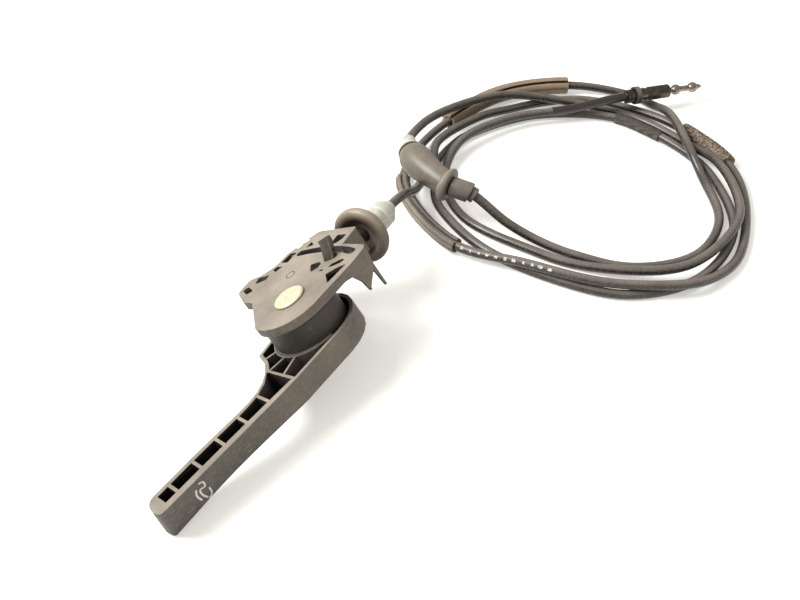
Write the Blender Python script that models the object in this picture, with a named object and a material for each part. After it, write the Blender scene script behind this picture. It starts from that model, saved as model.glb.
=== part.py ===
"""Hood release handle with its cable assembly, modelled in metres, +Z up.

The handle lies on a surface as it comes to rest: the grip points along -X, the
pivot axis leans over, and the cable runs on from the bracket into a loose coil.
"""

import math

import bmesh
import bpy
import numpy as np
from mathutils import Matrix, Vector

MM = 0.001

# Fits and clearances
SEAT_GAP = 0.3 * MM
RUN_GAP = 0.3 * MM

# Pivot: place and lean of the axis, at the middle of the bracket's top face
PIVOT = Vector((13.8 * MM, -2.6 * MM, 42.45 * MM))
ROLL = math.radians(31.0)
PITCH = math.radians(7.5)

# Pivot rivet and washer
RIVET_RADIUS = 4.0 * MM
RIVET_HEAD_RADIUS = 8.2 * MM
RIVET_HEAD = 1.4 * MM
RIVET_TAIL_RADIUS = 6.6 * MM
WASHER_RADIUS = 9.0 * MM
WASHER_THICKNESS = 0.5 * MM

# Bracket
PLATE = 2.0 * MM
WALL = 1.6 * MM
RIB = 1.3 * MM
SKIRT_DEPTH = 4.7 * MM
DECK_DEPTH = 14.6 * MM
ROUND_END_RADIUS = 22.4 * MM
END_FACE = 53.6 * MM
END_WALL = 2.4 * MM

# Crank that the cable nipple hooks into
CRANK_THICKNESS = 2.0 * MM
CRANK_RADIUS = 15.5 * MM
CRANK_ANGLE = math.radians(40.0)
CRANK_SLOT_FLARE = 1.5 * MM
KEY_RADIUS = 7.4 * MM
NIPPLE_RADIUS = 2.4 * MM
WIRE_RADIUS = 0.65 * MM

# Lever
DRUM_RADIUS = 20.0 * MM
DRUM_WALL = 2.2 * MM
DRUM_CROWN = 2.5 * MM
DRUM_HEIGHT = 13.6 * MM
COLLAR = 1.7 * MM
HEAD_WALL = 2.0 * MM
HEAD_POCKET = 2.4 * MM
HEAD_DEPTH = 13.5 * MM
GRIP_LENGTH = 120.5 * MM
GRIP_WIDTH = 10.0 * MM
GRIP_TIP_DEPTH = 22.3 * MM
GRIP_RIM_RIGHT = 2.7 * MM
GRIP_RIM_LEFT = 1.8 * MM
GRIP_FLOOR = 2.0 * MM
GRIP_RIB = 1.6 * MM
GRIP_RIB_PITCH = 14.3 * MM
GRIP_TIP_WALL = 6.5 * MM
FLARE_RIB_STEP = 2.0 * MM
GRIP_ANGLE = math.radians(-8.1)
GRIP_TWIST = math.radians(28.0)
GRIP_RISE = 6.2 * MM
FOOT_RADIUS = 1.6 * MM
ARC_STEP = math.radians(15.0)

# Heights above the bracket's top face, worked out from the stack
WASHER_TOP = -PLATE - RUN_GAP
CRANK_TOP = WASHER_TOP - WASHER_THICKNESS - RUN_GAP
DRUM_TOP = CRANK_TOP - CRANK_THICKNESS - RUN_GAP
RIM = DRUM_TOP - DRUM_HEIGHT
HEAD_RADIUS = DRUM_RADIUS + HEAD_POCKET + HEAD_WALL
HEAD_BOTTOM = RIM - HEAD_DEPTH
BORE_RADIUS = RIVET_RADIUS + RUN_GAP

# Cable sleeve and panel grommet, measured along the cable from the bracket's end face
SLEEVE_NECK = 4.0 * MM
SLEEVE_FRONT = -8.0 * MM
SLEEVE_BACK = 36.5 * MM
SLEEVE_FLANGE_RADIUS = 12.8 * MM
SLEEVE_FLANGE = 1.9 * MM
CONDUIT_RADIUS = 2.75 * MM
CONDUIT_START = 12.0 * MM
GROMMET_RADIUS = 16.0 * MM
GROMMET_OPENING = 10.2 * MM
GROMMET_FRONT = 3.5 * MM
GROMMET_DEPTH = 6.4 * MM
FERRULE_END = -12.0 * MM
FERRULE_RADIUS = 2.4 * MM

# Pieces on the cable: places are lengths along it from its start in the sleeve
TAPE_START = 268.0 * MM
TAPE_LENGTH = 34.0 * MM
TAPE_RADIUS = 3.6 * MM
FOAM_START = 888.0 * MM
FOAM_LENGTH = 42.0 * MM
FOAM_RADIUS = 4.6 * MM
SPLIT_SLEEVE_START = 1199.0 * MM
SPLIT_SLEEVE_LENGTH = 72.0 * MM
SPLIT_SLEEVE_RADIUS = 4.4 * MM
FLUTED_SLEEVE_START = 1340.0 * MM
FLUTED_SLEEVE_LENGTH = 98.0 * MM
FLUTED_SLEEVE_RADIUS = 5.7 * MM
BOOT_START = 1820.0 * MM
BOOT_LENGTH = 41.0 * MM
BOOT_RADIUS = 10.5 * MM
RING_SEAT = 1.4 * MM
RING_WIDTH = 3.8 * MM
NECK_LENGTH = 15.0 * MM
INSERT_LENGTH = 13.0 * MM
BOOT_RING_RADIUS = 12.0 * MM
END_SLEEVE_RADIUS = 4.5 * MM
END_SLEEVE_LENGTH = 26.0 * MM
END_COLLAR_RADIUS = 5.8 * MM
END_COLLAR_WIDTH = 3.4 * MM
CONDUIT_SEAT = 6.0 * MM
STUD_RADIUS = 1.4 * MM
STUD_BALL_RADIUS = 3.6 * MM
STUD_BALL_PITCH = 13.0 * MM
STUD_REACH = 6.0 * MM
STUD_STROKE = 11.8 * MM

# Line of the cable through the bracket's end wall, in the pivot frame
CABLE_ENTRY = Vector((END_FACE, 0.5 * MM, -9.5 * MM))
CABLE_YAW = math.radians(7.9)
CABLE_DIP = math.radians(8.9)


for old in list(bpy.data.objects):
    bpy.data.objects.remove(old, do_unlink=True)


def material(name, colour, roughness, metallic=0.0):
    """A plain Principled finish."""
    made = bpy.data.materials.new(name)
    made.use_nodes = True
    shader = made.node_tree.nodes["Principled BSDF"]
    shader.inputs["Base Color"].default_value = (*colour, 1.0)
    shader.inputs["Roughness"].default_value = roughness
    shader.inputs["Metallic"].default_value = metallic
    return made


def add_object(name, mesh, finish=None, parent=None, sharp=35.0):
    """Put a mesh in the scene as a named object."""
    made = bpy.data.objects.new(name, mesh)
    bpy.context.collection.objects.link(made)
    made.parent = parent
    if finish is not None:
        mesh.materials.clear()
        mesh.materials.append(finish)
    mesh.shade_smooth()
    mesh.set_sharp_from_angle(angle=math.radians(sharp))
    return made


def mesh_of(shape, name="shape"):
    """Turn a bmesh into a mesh with its faces pointing out."""
    bmesh.ops.recalc_face_normals(shape, faces=shape.faces)
    mesh = bpy.data.meshes.new(name)
    shape.to_mesh(mesh)
    shape.free()
    return mesh


def corners(points):
    """An outline from corner points (x, y, fillet radius), each corner an arc."""
    outline = []
    count = len(points)
    for i, (x, y, radius) in enumerate(points):
        here = Vector((x, y))
        if radius <= 0.0:
            outline.append(here)
            continue
        to_last = (Vector(points[i - 1][:2]) - here).normalized()
        to_next = (Vector(points[(i + 1) % count][:2]) - here).normalized()
        half = 0.5 * math.acos(max(-1.0, min(1.0, to_last.dot(to_next))))
        reach = radius / math.tan(half)
        centre = here + (to_last + to_next).normalized() * radius / math.sin(half)
        start = here + to_last * reach - centre
        end = here + to_next * reach - centre
        turn = math.atan2(start.cross(end), start.dot(end))
        steps = max(1, round(abs(turn) / ARC_STEP))
        for k in range(steps + 1):
            angle = turn * k / steps
            outline.append(centre + Matrix.Rotation(angle, 2) @ start)
    return outline


def arc(centre, radius, start, end, step=ARC_STEP):
    """Points along an arc, angles in radians."""
    steps = max(1, math.ceil(abs(end - start) / step))
    points = []
    for k in range(steps + 1):
        angle = start + (end - start) * k / steps
        points.append(Vector((centre[0] + radius * math.cos(angle), centre[1] + radius * math.sin(angle))))
    return points


def circle(radius, sides=36, centre=(0.0, 0.0)):
    """A closed ring of points."""
    return arc(centre, radius, 0.0, math.tau, math.tau / sides)[:-1]


def prism(outline, bottom, top):
    """A straight extrusion of an outline between two heights."""
    shape = bmesh.new()
    base = [shape.verts.new((p[0], p[1], bottom)) for p in outline]
    face = shape.faces.new(base)
    lifted = bmesh.ops.extrude_face_region(shape, geom=[face])
    raised = [v for v in lifted["geom"] if isinstance(v, bmesh.types.BMVert)]
    bmesh.ops.translate(shape, verts=raised, vec=(0.0, 0.0, top - bottom))
    return mesh_of(shape)


def turned(profile, sides=36):
    """A solid of revolution about Z from (radius, height) points, flat at a zero radius."""
    shape = bmesh.new()
    rings = []
    for radius, height in profile:
        if radius > 1e-7:
            rings.append([shape.verts.new((p[0], p[1], height)) for p in circle(radius, sides)])
    pairs = list(zip(rings, rings[1:]))
    if profile[0][0] > 1e-7:
        pairs.append((rings[-1], rings[0]))
    else:
        shape.faces.new(rings[0])
        shape.faces.new(rings[-1])
    for lower, upper in pairs:
        for k in range(sides):
            n = (k + 1) % sides
            shape.faces.new((lower[k], lower[n], upper[n], upper[k]))
    return mesh_of(shape)


def boolean(base, tool, operation):
    """Combine two meshes with the exact solver and return the result."""
    holder = add_object("base", base)
    cutter = add_object("tool", tool)
    step = holder.modifiers.new("combine", "BOOLEAN")
    step.operation = operation
    step.solver = "EXACT"
    step.object = cutter
    bpy.context.view_layer.update()
    graph = bpy.context.evaluated_depsgraph_get()
    result = bpy.data.meshes.new_from_object(holder.evaluated_get(graph))
    if not result.polygons:
        raise ValueError(f"{operation} left nothing")
    for used in (holder, cutter):
        bpy.data.objects.remove(used, do_unlink=True)
    return result


def cut(base, *tools):
    """Take each tool away from the base."""
    for tool in tools:
        base = boolean(base, tool, "DIFFERENCE")
    return base


def fuse(base, *tools):
    """Join each tool to the base."""
    for tool in tools:
        base = boolean(base, tool, "UNION")
    return base


def moved(mesh, matrix):
    """A mesh shifted and turned by a matrix."""
    mesh.transform(matrix)
    return mesh


def clamp(value):
    """Limit a value to the range 0 to 1."""
    return max(0.0, min(1.0, value))


def edge_distance(point, outline):
    """Distance from a point to the nearest edge of an outline."""
    nearest = math.inf
    for a, b in zip(outline, outline[1:] + outline[:1]):
        along = clamp((point - a).dot(b - a) / max((b - a).length_squared, 1e-18))
        nearest = min(nearest, (point - a.lerp(b, along)).length)
    return nearest


def inset(outline, distance):
    """An outline moved inwards by a wall thickness."""
    count = len(outline)
    area = sum(outline[i - 1].cross(outline[i]) for i in range(count))
    side = 1.0 if area > 0.0 else -1.0
    result = []
    for i in range(count):
        before = (outline[i] - outline[i - 1]).normalized()
        after = (outline[(i + 1) % count] - outline[i]).normalized()
        n0 = Vector((-before.y, before.x)) * side
        n1 = Vector((-after.y, after.x)) * side
        mitre = (n0 + n1).normalized()
        point = outline[i] + mitre * distance / max(0.5, mitre.dot(n0))
        apart = not result or (point - result[-1]).length > 0.05 * MM
        if apart and edge_distance(point, outline) > 0.98 * distance:
            result.append(point)
    return result


def box(x0, x1, y0, y1, z0, z1):
    """A rectangular block."""
    return prism([Vector((x0, y0)), Vector((x1, y0)), Vector((x1, y1)), Vector((x0, y1))], z0, z1)


# Pivot axis: everything on the bracket and the lever hangs on this empty
pivot_axis = bpy.data.objects.new("pivot_axis", None)
bpy.context.collection.objects.link(pivot_axis)
pivot_axis.matrix_world = (
    Matrix.Translation(PIVOT) @ Matrix.Rotation(-ROLL, 4, "X") @ Matrix.Rotation(-PITCH, 4, "Y")
)

# Colour, roughness and metallic value of what several pieces are made of
BLACK_NYLON = ((0.055, 0.050, 0.047), 0.55, 0.0)
ZINC_STEEL = ((0.75, 0.62, 0.36), 0.35, 1.0)
BARE_STEEL = ((0.42, 0.41, 0.39), 0.4, 1.0)

# Lever, drawn flat: x runs along the grip towards the hub, z = 0 is the rim
RIGHT_EDGE = -HEAD_RADIUS
LEFT_EDGE = RIGHT_EDGE + GRIP_WIDTH
FLARE = Vector((-23.8 * MM, 19.6 * MM))
LAST_RIB = -32.8 * MM
FAN_ANGLES = (154.0, 183.0, 203.0)
TWIST_START = 28.0 * MM
TWIST_LENGTH = 70.0 * MM
BEND_STATIONS = 16


def lever_outline():
    """Plan of the lever: round head, flare beside the hub, and the long grip."""
    head = arc((0.0, 0.0), HEAD_RADIUS, math.radians(-90.0), math.radians(117.0))
    flare = corners([
        (FLARE.x + 12.0 * MM, FLARE.y + 1.9 * MM, 0.0),
        (FLARE.x, FLARE.y, 2.0 * MM),
        (FLARE.x - 4.0 * MM, 9.0 * MM, 0.0),
    ])
    sweep = [
        Vector((-31.6 * MM, 2.6 * MM)),
        Vector((-35.8 * MM, -3.2 * MM)),
        Vector((-41.0 * MM, -8.0 * MM)),
        Vector((-47.0 * MM, -11.4 * MM)),
        Vector((-54.0 * MM, LEFT_EDGE + 1.2 * MM)),
        Vector((-62.0 * MM, LEFT_EDGE + 0.5 * MM)),
        Vector((-72.0 * MM, LEFT_EDGE + 0.2 * MM)),
    ]
    nose = corners([
        (-90.0 * MM, LEFT_EDGE, 0.0),
        (-GRIP_LENGTH, LEFT_EDGE - 0.5 * MM, 5.5 * MM),
        (-GRIP_LENGTH + 1.5 * MM, RIGHT_EDGE, 2.0 * MM),
        (-60.0 * MM, RIGHT_EDGE, 0.0),
    ])
    return head + flare + sweep + nose


def left_rim(x):
    """Left edge of the grip at a station, read off the outline."""
    outline = lever_outline()
    found = []
    for a, b in zip(outline, outline[1:] + outline[:1]):
        if (a.x - x) * (b.x - x) <= 0.0 and a.x != b.x:
            found.append(a.y + (b.y - a.y) * (x - a.x) / (b.x - a.x))
    return max(found)


def grip_pocket(x0, x1, floor):
    """One pocket between two ribs of the grip."""
    right = RIGHT_EDGE + GRIP_RIM_RIGHT
    stations = [x0, 0.5 * (x0 + x1), x1]
    left = [Vector((x, left_rim(x) - GRIP_RIM_LEFT)) for x in stations]
    return prism([Vector((x1, right)), Vector((x0, right))] + left, floor, 1.0 * MM)


def radial_rib(angle, inner, outer, thickness, bottom, top):
    """A straight rib pointing out from the pivot."""
    rib = box(inner, outer, -thickness / 2, thickness / 2, bottom, top)
    return moved(rib, Matrix.Rotation(math.radians(angle), 4, "Z"))


def head_pocket(floor):
    """The tray round the drum: a crescent in front, a fan of ribbed cells behind."""
    above = 1.0 * MM
    tray = prism(inset(lever_outline(), HEAD_WALL), floor, above)
    grip = box(-GRIP_LENGTH - 0.01, LAST_RIB + GRIP_RIB / 2, -0.1, 0.1, floor - above, 2 * above)
    drum = prism(circle(DRUM_RADIUS - DRUM_WALL / 2, 48), floor - above, 2 * above)
    collar = prism(
        arc((0.0, 0.0), DRUM_RADIUS + COLLAR, math.radians(95.0), math.radians(262.0)),
        floor - above, 2 * above,
    )
    tray = cut(tray, grip, drum, collar)
    for angle in FAN_ANGLES:
        tray = cut(tray, radial_rib(angle, DRUM_RADIUS / 2, 0.05, GRIP_RIB * 0.75, floor - above, 2 * above))
    return tray


def drum_core():
    """Hollow of the drum, open below, round a ribbed centre boss."""
    below = -HEAD_DEPTH - 1.0 * MM
    core = prism(circle(DRUM_RADIUS - DRUM_WALL, 48), below, DRUM_HEIGHT - DRUM_CROWN)
    core = cut(core, prism(circle(KEY_RADIUS, 24), below - 1.0 * MM, DRUM_HEIGHT))
    for k in range(6):
        core = cut(core, radial_rib(30.0 + 60.0 * k, KEY_RADIUS / 2, 0.03, RIB, -2.0 * MM, DRUM_HEIGHT))
    return core


def build_lever():
    """The one-piece lever: drum, head tray, fan of ribs and pocketed grip."""
    floor = -HEAD_DEPTH + GRIP_FLOOR
    body = rounded_foot(lever_outline(), -HEAD_DEPTH, 0.0, FOOT_RADIUS)
    body = cut(body, head_pocket(floor))
    ribs = [LAST_RIB]
    tip_wall = -GRIP_LENGTH + GRIP_TIP_WALL
    while (station := LAST_RIB - FLARE_RIB_STEP - GRIP_RIB_PITCH * len(ribs)) > tip_wall + 2 * GRIP_RIB:
        ribs.append(station)
    ribs.append(tip_wall)
    for a, b in zip(ribs, ribs[1:]):
        body = cut(body, grip_pocket(b + GRIP_RIB / 2, a - GRIP_RIB / 2, floor))
    edge = 1.0 * MM
    drum = turned([
        (0.0, -HEAD_DEPTH + GRIP_FLOOR / 2),
        (DRUM_RADIUS, -HEAD_DEPTH + GRIP_FLOOR / 2),
        (DRUM_RADIUS, DRUM_HEIGHT - edge),
        (DRUM_RADIUS - edge, DRUM_HEIGHT),
        (0.0, DRUM_HEIGHT),
    ], 48)
    body = fuse(body, drum, prism(circle(KEY_RADIUS, 6), DRUM_HEIGHT - edge, CRANK_TOP - RIM))
    bore = prism(circle(BORE_RADIUS, 24), -HEAD_DEPTH - 1.0 * MM, CRANK_TOP - RIM + 1.0 * MM)
    tail = prism(circle(RIVET_TAIL_RADIUS + 3.0 * MM, 24), -HEAD_DEPTH - 1.0 * MM, -HEAD_DEPTH + 5.0 * MM)
    return cut(body, drum_core(), bore, tail)


def lever_place(point):
    """Where a point of the flat lever sits on the real one, in the pivot frame."""
    x, y, z = point
    along = clamp((-x - TWIST_START) / TWIST_LENGTH)
    turn = GRIP_TWIST * (1.0 - (1.0 - along) ** 2)
    reach = clamp((-x - TWIST_START) / (GRIP_LENGTH - TWIST_START))
    deepen = 1.0 + (GRIP_TIP_DEPTH / HEAD_DEPTH - 1.0) * reach
    z = z * deepen if z < 0.0 else z
    across = y - RIGHT_EDGE
    rise = GRIP_RISE * clamp((-x - DRUM_RADIUS) / (GRIP_LENGTH - DRUM_RADIUS)) ** 1.2
    y = RIGHT_EDGE + across * math.cos(turn) - z * math.sin(turn)
    z = across * math.sin(turn) + z * math.cos(turn) + rise
    swing = Matrix.Rotation(GRIP_ANGLE, 3, "Z")
    return swing @ Vector((x, y, z)) + Vector((0.0, 0.0, RIM))


def rounded_foot(outline, bottom, top, radius, steps=3):
    """An extrusion whose lower edge is rounded."""
    shape = bmesh.new()
    face = shape.faces.new([shape.verts.new((p.x, p.y, top)) for p in outline])
    lowered = bmesh.ops.extrude_face_region(shape, geom=[face])
    verts = [v for v in lowered["geom"] if isinstance(v, bmesh.types.BMVert)]
    faces = [f for f in lowered["geom"] if isinstance(f, bmesh.types.BMFace)]
    bmesh.ops.translate(shape, verts=verts, vec=(0.0, 0.0, bottom - top))
    bmesh.ops.bevel(shape, geom=list(faces[0].edges), offset=radius, segments=steps, profile=0.5,
                    affect="EDGES", clamp_overlap=True)
    return mesh_of(shape)


def bend_lever(mesh):
    """Turn the grip about its edge, station by station."""
    shape = bmesh.new()
    shape.from_mesh(mesh)
    for k in range(1, BEND_STATIONS):
        x = -TWIST_START + (TWIST_START - GRIP_LENGTH) * k / BEND_STATIONS
        geom = list(shape.verts) + list(shape.edges) + list(shape.faces)
        bmesh.ops.bisect_plane(shape, geom=geom, dist=1e-7, plane_co=(x, 0, 0), plane_no=(1, 0, 0))
    bmesh.ops.triangulate(shape, faces=shape.faces)
    for vert in shape.verts:
        vert.co = lever_place(vert.co)
    return mesh_of(shape)


lever_finish = material("worn lever nylon", *BLACK_NYLON)
lever = add_object("lever", bend_lever(build_lever()), lever_finish, pivot_axis)


# Crank: a pressed steel arm keyed on the drum, with a seat for the cable nipple
def build_crank():
    """Flat arm with a keyed eye and a hook, slotted with a flare on the side the wire swings to."""
    hook = HOOK.to_2d()
    eye = KEY_RADIUS + 3.2 * MM
    end = NIPPLE_RADIUS + RUN_GAP + 1.6 * MM
    height = (CRANK_TOP - CRANK_THICKNESS, CRANK_TOP)
    away = CRANK_ANGLE + math.radians(90.0)
    shift = Vector((math.cos(away), math.sin(away)))
    web = [shift * eye * 0.8, shift * -eye * 0.8, hook - shift * end * 0.9, hook + shift * end * 0.9]
    crank = fuse(prism(circle(eye, 32), *height), prism(circle(end, 24, hook), *height), prism(web, *height))
    key = prism(circle(KEY_RADIUS + RUN_GAP / math.cos(math.pi / 6), 6), height[0] - MM, height[1] + MM)
    key = moved(key, Matrix.Rotation(GRIP_ANGLE, 4, "Z"))
    seat = circle(NIPPLE_RADIUS + RUN_GAP, 20, hook)
    reach = (height[0] - MM, height[1] + MM)
    slot_half = WIRE_RADIUS + RUN_GAP
    mouth = NIPPLE_RADIUS + RUN_GAP
    flare = slot_half + CRANK_SLOT_FLARE * (2.5 * end - mouth) / (end - mouth)
    slot = prism([
        Vector((0.0, -slot_half)), Vector((mouth, -slot_half)), Vector((2.5 * end, -flare)),
        Vector((2.5 * end, slot_half)), Vector((0.0, slot_half)),
    ], *reach)
    aim = math.atan2(WIRE_END.y - hook.y, WIRE_END.x - hook.x)
    slot = moved(slot, Matrix.Translation((hook.x, hook.y, 0.0)) @ Matrix.Rotation(aim, 4, "Z"))
    return cut(crank, key, prism(seat, *reach), slot)


cable_line = (
    Matrix.Translation(CABLE_ENTRY) @ Matrix.Rotation(CABLE_YAW, 4, "Z")
    @ Matrix.Rotation(math.radians(90.0) + CABLE_DIP, 4, "Y")
)
WIRE_END = cable_line @ Vector((0.0, 0.0, FERRULE_END))
HOOK = Vector((
    CRANK_RADIUS * math.cos(CRANK_ANGLE),
    CRANK_RADIUS * math.sin(CRANK_ANGLE),
    CRANK_TOP - CRANK_THICKNESS / 2,
))
crank = add_object("crank", build_crank(), material("zinc plated crank", *ZINC_STEEL), pivot_axis)


# Bracket: one moulding, a top plate with a shallow skirt and deep walls at the cable end
SLOT_CENTRE = Vector((-51.4 * MM, 7.5 * MM))
SLOT_RADIUS = 88.6 * MM
SLOT_WIDTH = 4.6 * MM
WINDOWS = {
    "nipple_window": [(19.2, 0.4, 0.5), (22.0, -2.8, 0.8), (25.6, -2.8, 0.8), (27.0, 0.4, 0.8),
                      (25.4, 5.2, 0.8), (22.2, 3.0, 0.5)],
    "tab_window": [(21.2, -10.6, 0.6), (24.4, -11.2, 0.4), (27.6, -16.2, 0.8), (26.6, -19.2, 0.8),
                   (24.0, -17.0, 0.6)],
    "side_window": [(16.4, -13.0, 0.8), (9.4, -19.8, 0.5), (23.2, -22.8, 0.6), (20.8, -17.6, 0.6)],
    "end_window": [(40.7, 2.6, 0.8), (41.2, -1.2, 1.0), (44.6, -4.0, 0.5), (48.0, -4.2, 0.8),
                   (48.4, 3.0, 0.8)],
    "corner_window": [(40.2, 21.4, 0.4), (42.0, 16.6, 0.4), (45.2, 20.6, 0.4)],
    "ear_slot": [(5.4, 39.6, 1.2), (8.2, 36.4, 0.8), (9.6, 39.6, 0.6), (11.9, 44.2, 1.2), (8.4, 45.6, 1.4)],
    "edge_cell_1": [(13.2, 39.6, 1.0), (16.2, 33.2, 1.0), (20.3, 33.6, 1.0), (18.4, 41.2, 1.0)],
    "edge_cell_2": [(22.0, 30.8, 0.5), (26.2, 28.0, 0.5), (26.4, 33.0, 0.6), (24.2, 34.4, 0.5)],
    "edge_cell_3": [(29.2, 27.0, 0.6), (37.2, 25.8, 0.6), (36.8, 30.8, 0.6), (29.4, 32.4, 0.6)],
    "edge_cell_4": [(40.4, 27.8, 0.6), (48.4, 23.4, 0.6), (48.2, 27.0, 0.6), (41.0, 30.4, 0.6)],
    "pin_hole": [(19.2, -8.6, 0.4), (20.6, -8.4, 0.4), (20.4, -5.8, 0.4), (19.4, -5.6, 0.4)],
}
NIB_PLACES = ((21.0, 38.6), (27.6, 34.6), (37.0, 32.4), (45.6, 28.6))
NIB_REACH = 3.0 * MM
TAB_FOOT = Vector((28.6 * MM, -6.7 * MM))
TAB_WIDTH = 5.0 * MM
TAB_THICKNESS = 1.8 * MM
TAB_HEIGHT = 12.0 * MM
TAB_LEAN = math.radians(24.0)
PRONG_DEPTH = 25.0 * MM
SIDE_DEPTH = 17.4 * MM


def bracket_outline():
    """Plan of the bracket: round end at the pivot, ear on one side, square cable end."""
    r = ROUND_END_RADIUS
    round_end = arc((0.0, 0.0), r, math.radians(158.0), math.radians(268.0), math.radians(10.0))
    lower = corners([
        (9.0 * MM, -24.0 * MM, 0.0),
        (23.0 * MM, -26.3 * MM, 0.0),
        (37.0 * MM, -26.6 * MM, 4.0 * MM),
        (40.0 * MM, -7.2 * MM, 0.0),
        (END_FACE, -7.2 * MM, 1.5 * MM),
        (END_FACE, 22.0 * MM, 5.0 * MM),
        (36.4 * MM, 33.4 * MM, 2.0 * MM),
        (27.0 * MM, 35.0 * MM, 2.0 * MM),
        (20.0 * MM, 41.0 * MM, 2.0 * MM),
        (17.2 * MM, 47.6 * MM, 3.0 * MM),
        (7.0 * MM, 48.6 * MM, 5.0 * MM),
        (-1.1 * MM, 36.1 * MM, 3.0 * MM),
        (-1.5 * MM, 28.4 * MM, 2.0 * MM),
        (-10.0 * MM, 19.6 * MM, 0.0),
    ])
    return round_end + lower


def along_q(profile, q0, q1):
    """Extrude a profile drawn in the pivot's (p, height) plane across the bracket."""
    flat = prism([Vector((p, h)) for p, h in profile], -q1, -q0)
    return moved(flat, Matrix.Rotation(math.radians(90.0), 4, "X"))


def slot_outline(extra=0.0):
    """The curved slot near the cable end."""
    half = SLOT_WIDTH / 2 + extra
    top, bottom = math.radians(9.6), math.radians(-17.6)
    step = math.radians(3.5)
    outer = arc(SLOT_CENTRE, SLOT_RADIUS + half, bottom, top, step)
    inner = arc(SLOT_CENTRE, SLOT_RADIUS - half, top, bottom, step)
    cap_top = arc(slot_point(top), half, top, top + math.pi, math.radians(45.0))[1:-1]
    cap_bottom = arc(slot_point(bottom), half, bottom + math.pi, bottom + math.tau, math.radians(45.0))[1:-1]
    return outer + cap_top + inner + cap_bottom


def slot_point(angle):
    """A point on the slot's centre line."""
    return SLOT_CENTRE + Vector((math.cos(angle), math.sin(angle))) * SLOT_RADIUS


def snap_tab():
    """Leaning snap tab with a pointed head."""
    half = TAB_WIDTH / 2
    face = corners([
        (-half, 0.0, 0.0),
        (half, 0.0, 0.0),
        (half, TAB_HEIGHT * 0.78, 0.6 * MM),
        (0.0, TAB_HEIGHT, 0.5 * MM),
        (-half, TAB_HEIGHT * 0.78, 0.6 * MM),
    ])
    tab = prism(face, -TAB_THICKNESS / 2, TAB_THICKNESS / 2)
    stand = Matrix.Rotation(math.radians(90.0), 4, "Z") @ Matrix.Rotation(math.radians(90.0), 4, "X")
    lean = Matrix.Rotation(TAB_LEAN, 4, "Y")
    foot = Matrix.Translation((TAB_FOOT.x, TAB_FOOT.y, -PLATE / 2))
    return moved(tab, foot @ lean @ stand)


def prong():
    """A pointed blade hanging from the plate behind the deep side wall."""
    top = -PLATE / 2
    profile = [(33.0 * MM, top), (36.5 * MM, top), (36.3 * MM, -PRONG_DEPTH), (35.5 * MM, -PRONG_DEPTH)]
    return along_q(profile, -23.8 * MM, -22.4 * MM)


def wall_reliefs():
    """What is taken off below the walls: shallow at the pivot, deep at the cable end."""
    low = -SIDE_DEPTH - 2 * MM
    far = along_q(
        [(-40 * MM, -SKIRT_DEPTH), (20 * MM, -SKIRT_DEPTH), (27.5 * MM, -DECK_DEPTH), (70 * MM, -DECK_DEPTH),
         (70 * MM, low), (-40 * MM, low)],
        -20 * MM, 60 * MM,
    )
    near = along_q(
        [(-40 * MM, -SKIRT_DEPTH), (15 * MM, -SKIRT_DEPTH), (20 * MM, -6.0 * MM), (23 * MM, -12.0 * MM),
         (24.3 * MM, low), (-40 * MM, low)],
        -60 * MM, -20 * MM,
    )
    hook = along_q(
        [(24.9 * MM, low), (24.9 * MM, -SIDE_DEPTH), (27.3 * MM, -15.5 * MM), (31.7 * MM, -12.5 * MM),
         (37.4 * MM, -PLATE), (60 * MM, -PLATE), (60 * MM, low)],
        -60 * MM, -10 * MM,
    )
    return far, near, hook


def build_bracket():
    """The bracket moulding."""
    outline = bracket_outline()
    body = prism(outline, -SIDE_DEPTH - MM, 0.0)
    below, above = -SIDE_DEPTH - 2 * MM, MM
    hollow = prism(inset(outline, WALL), below, -PLATE)
    slot_wall = cut(
        prism(slot_outline(1.1 * MM), below, above),
        prism(slot_outline(), 2 * below, 2 * above),
        box(0.0, 0.1, -6.5 * MM, 12.0 * MM, 2 * below, 2 * above),
    )
    hollow = cut(hollow, slot_wall)
    for p in (12.5, 21.2, 27.8, 38.9):
        hollow = cut(hollow, box(p * MM - RIB / 2, p * MM + RIB / 2, 25.0 * MM, 60.0 * MM, below - MM, above))
    hollow = cut(hollow, box(28.0 * MM, 38.0 * MM, 24.0 * MM - RIB, 24.0 * MM, below - MM, above))
    end_wall = box(END_FACE - END_WALL, END_FACE, -7.0 * MM, 24.0 * MM, below - MM, above)
    hollow = cut(hollow, end_wall)
    body = cut(body, *wall_reliefs(), hollow)
    for outline in WINDOWS.values():
        hole = corners([(x * MM, y * MM, r * MM) for x, y, r in outline])
        body = cut(body, prism(hole, -PLATE - 0.5 * MM, above))
    body = cut(body, prism(slot_outline(), below, above))
    for x, y in NIB_PLACES:
        nib = corners([
            (x * MM - 1.4 * MM, y * MM - 3.0 * MM, 0.0),
            (x * MM + 1.4 * MM, y * MM - 3.0 * MM, 0.0),
            (x * MM + 0.9 * MM, y * MM + NIB_REACH, 0.4 * MM),
        ])
        body = fuse(body, prism(nib, -PLATE - 1.5 * MM, -PLATE + 0.6 * MM))
    body = fuse(body, snap_tab(), prong())
    sleeve_bore = moved(prism(circle(SLEEVE_NECK + SEAT_GAP, 24), -6.0 * MM, 6.0 * MM), cable_line)
    return cut(body, prism(circle(BORE_RADIUS, 24), below, above), sleeve_bore)


bracket = add_object("bracket", build_bracket(), material("worn bracket nylon", *BLACK_NYLON), pivot_axis)


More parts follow.
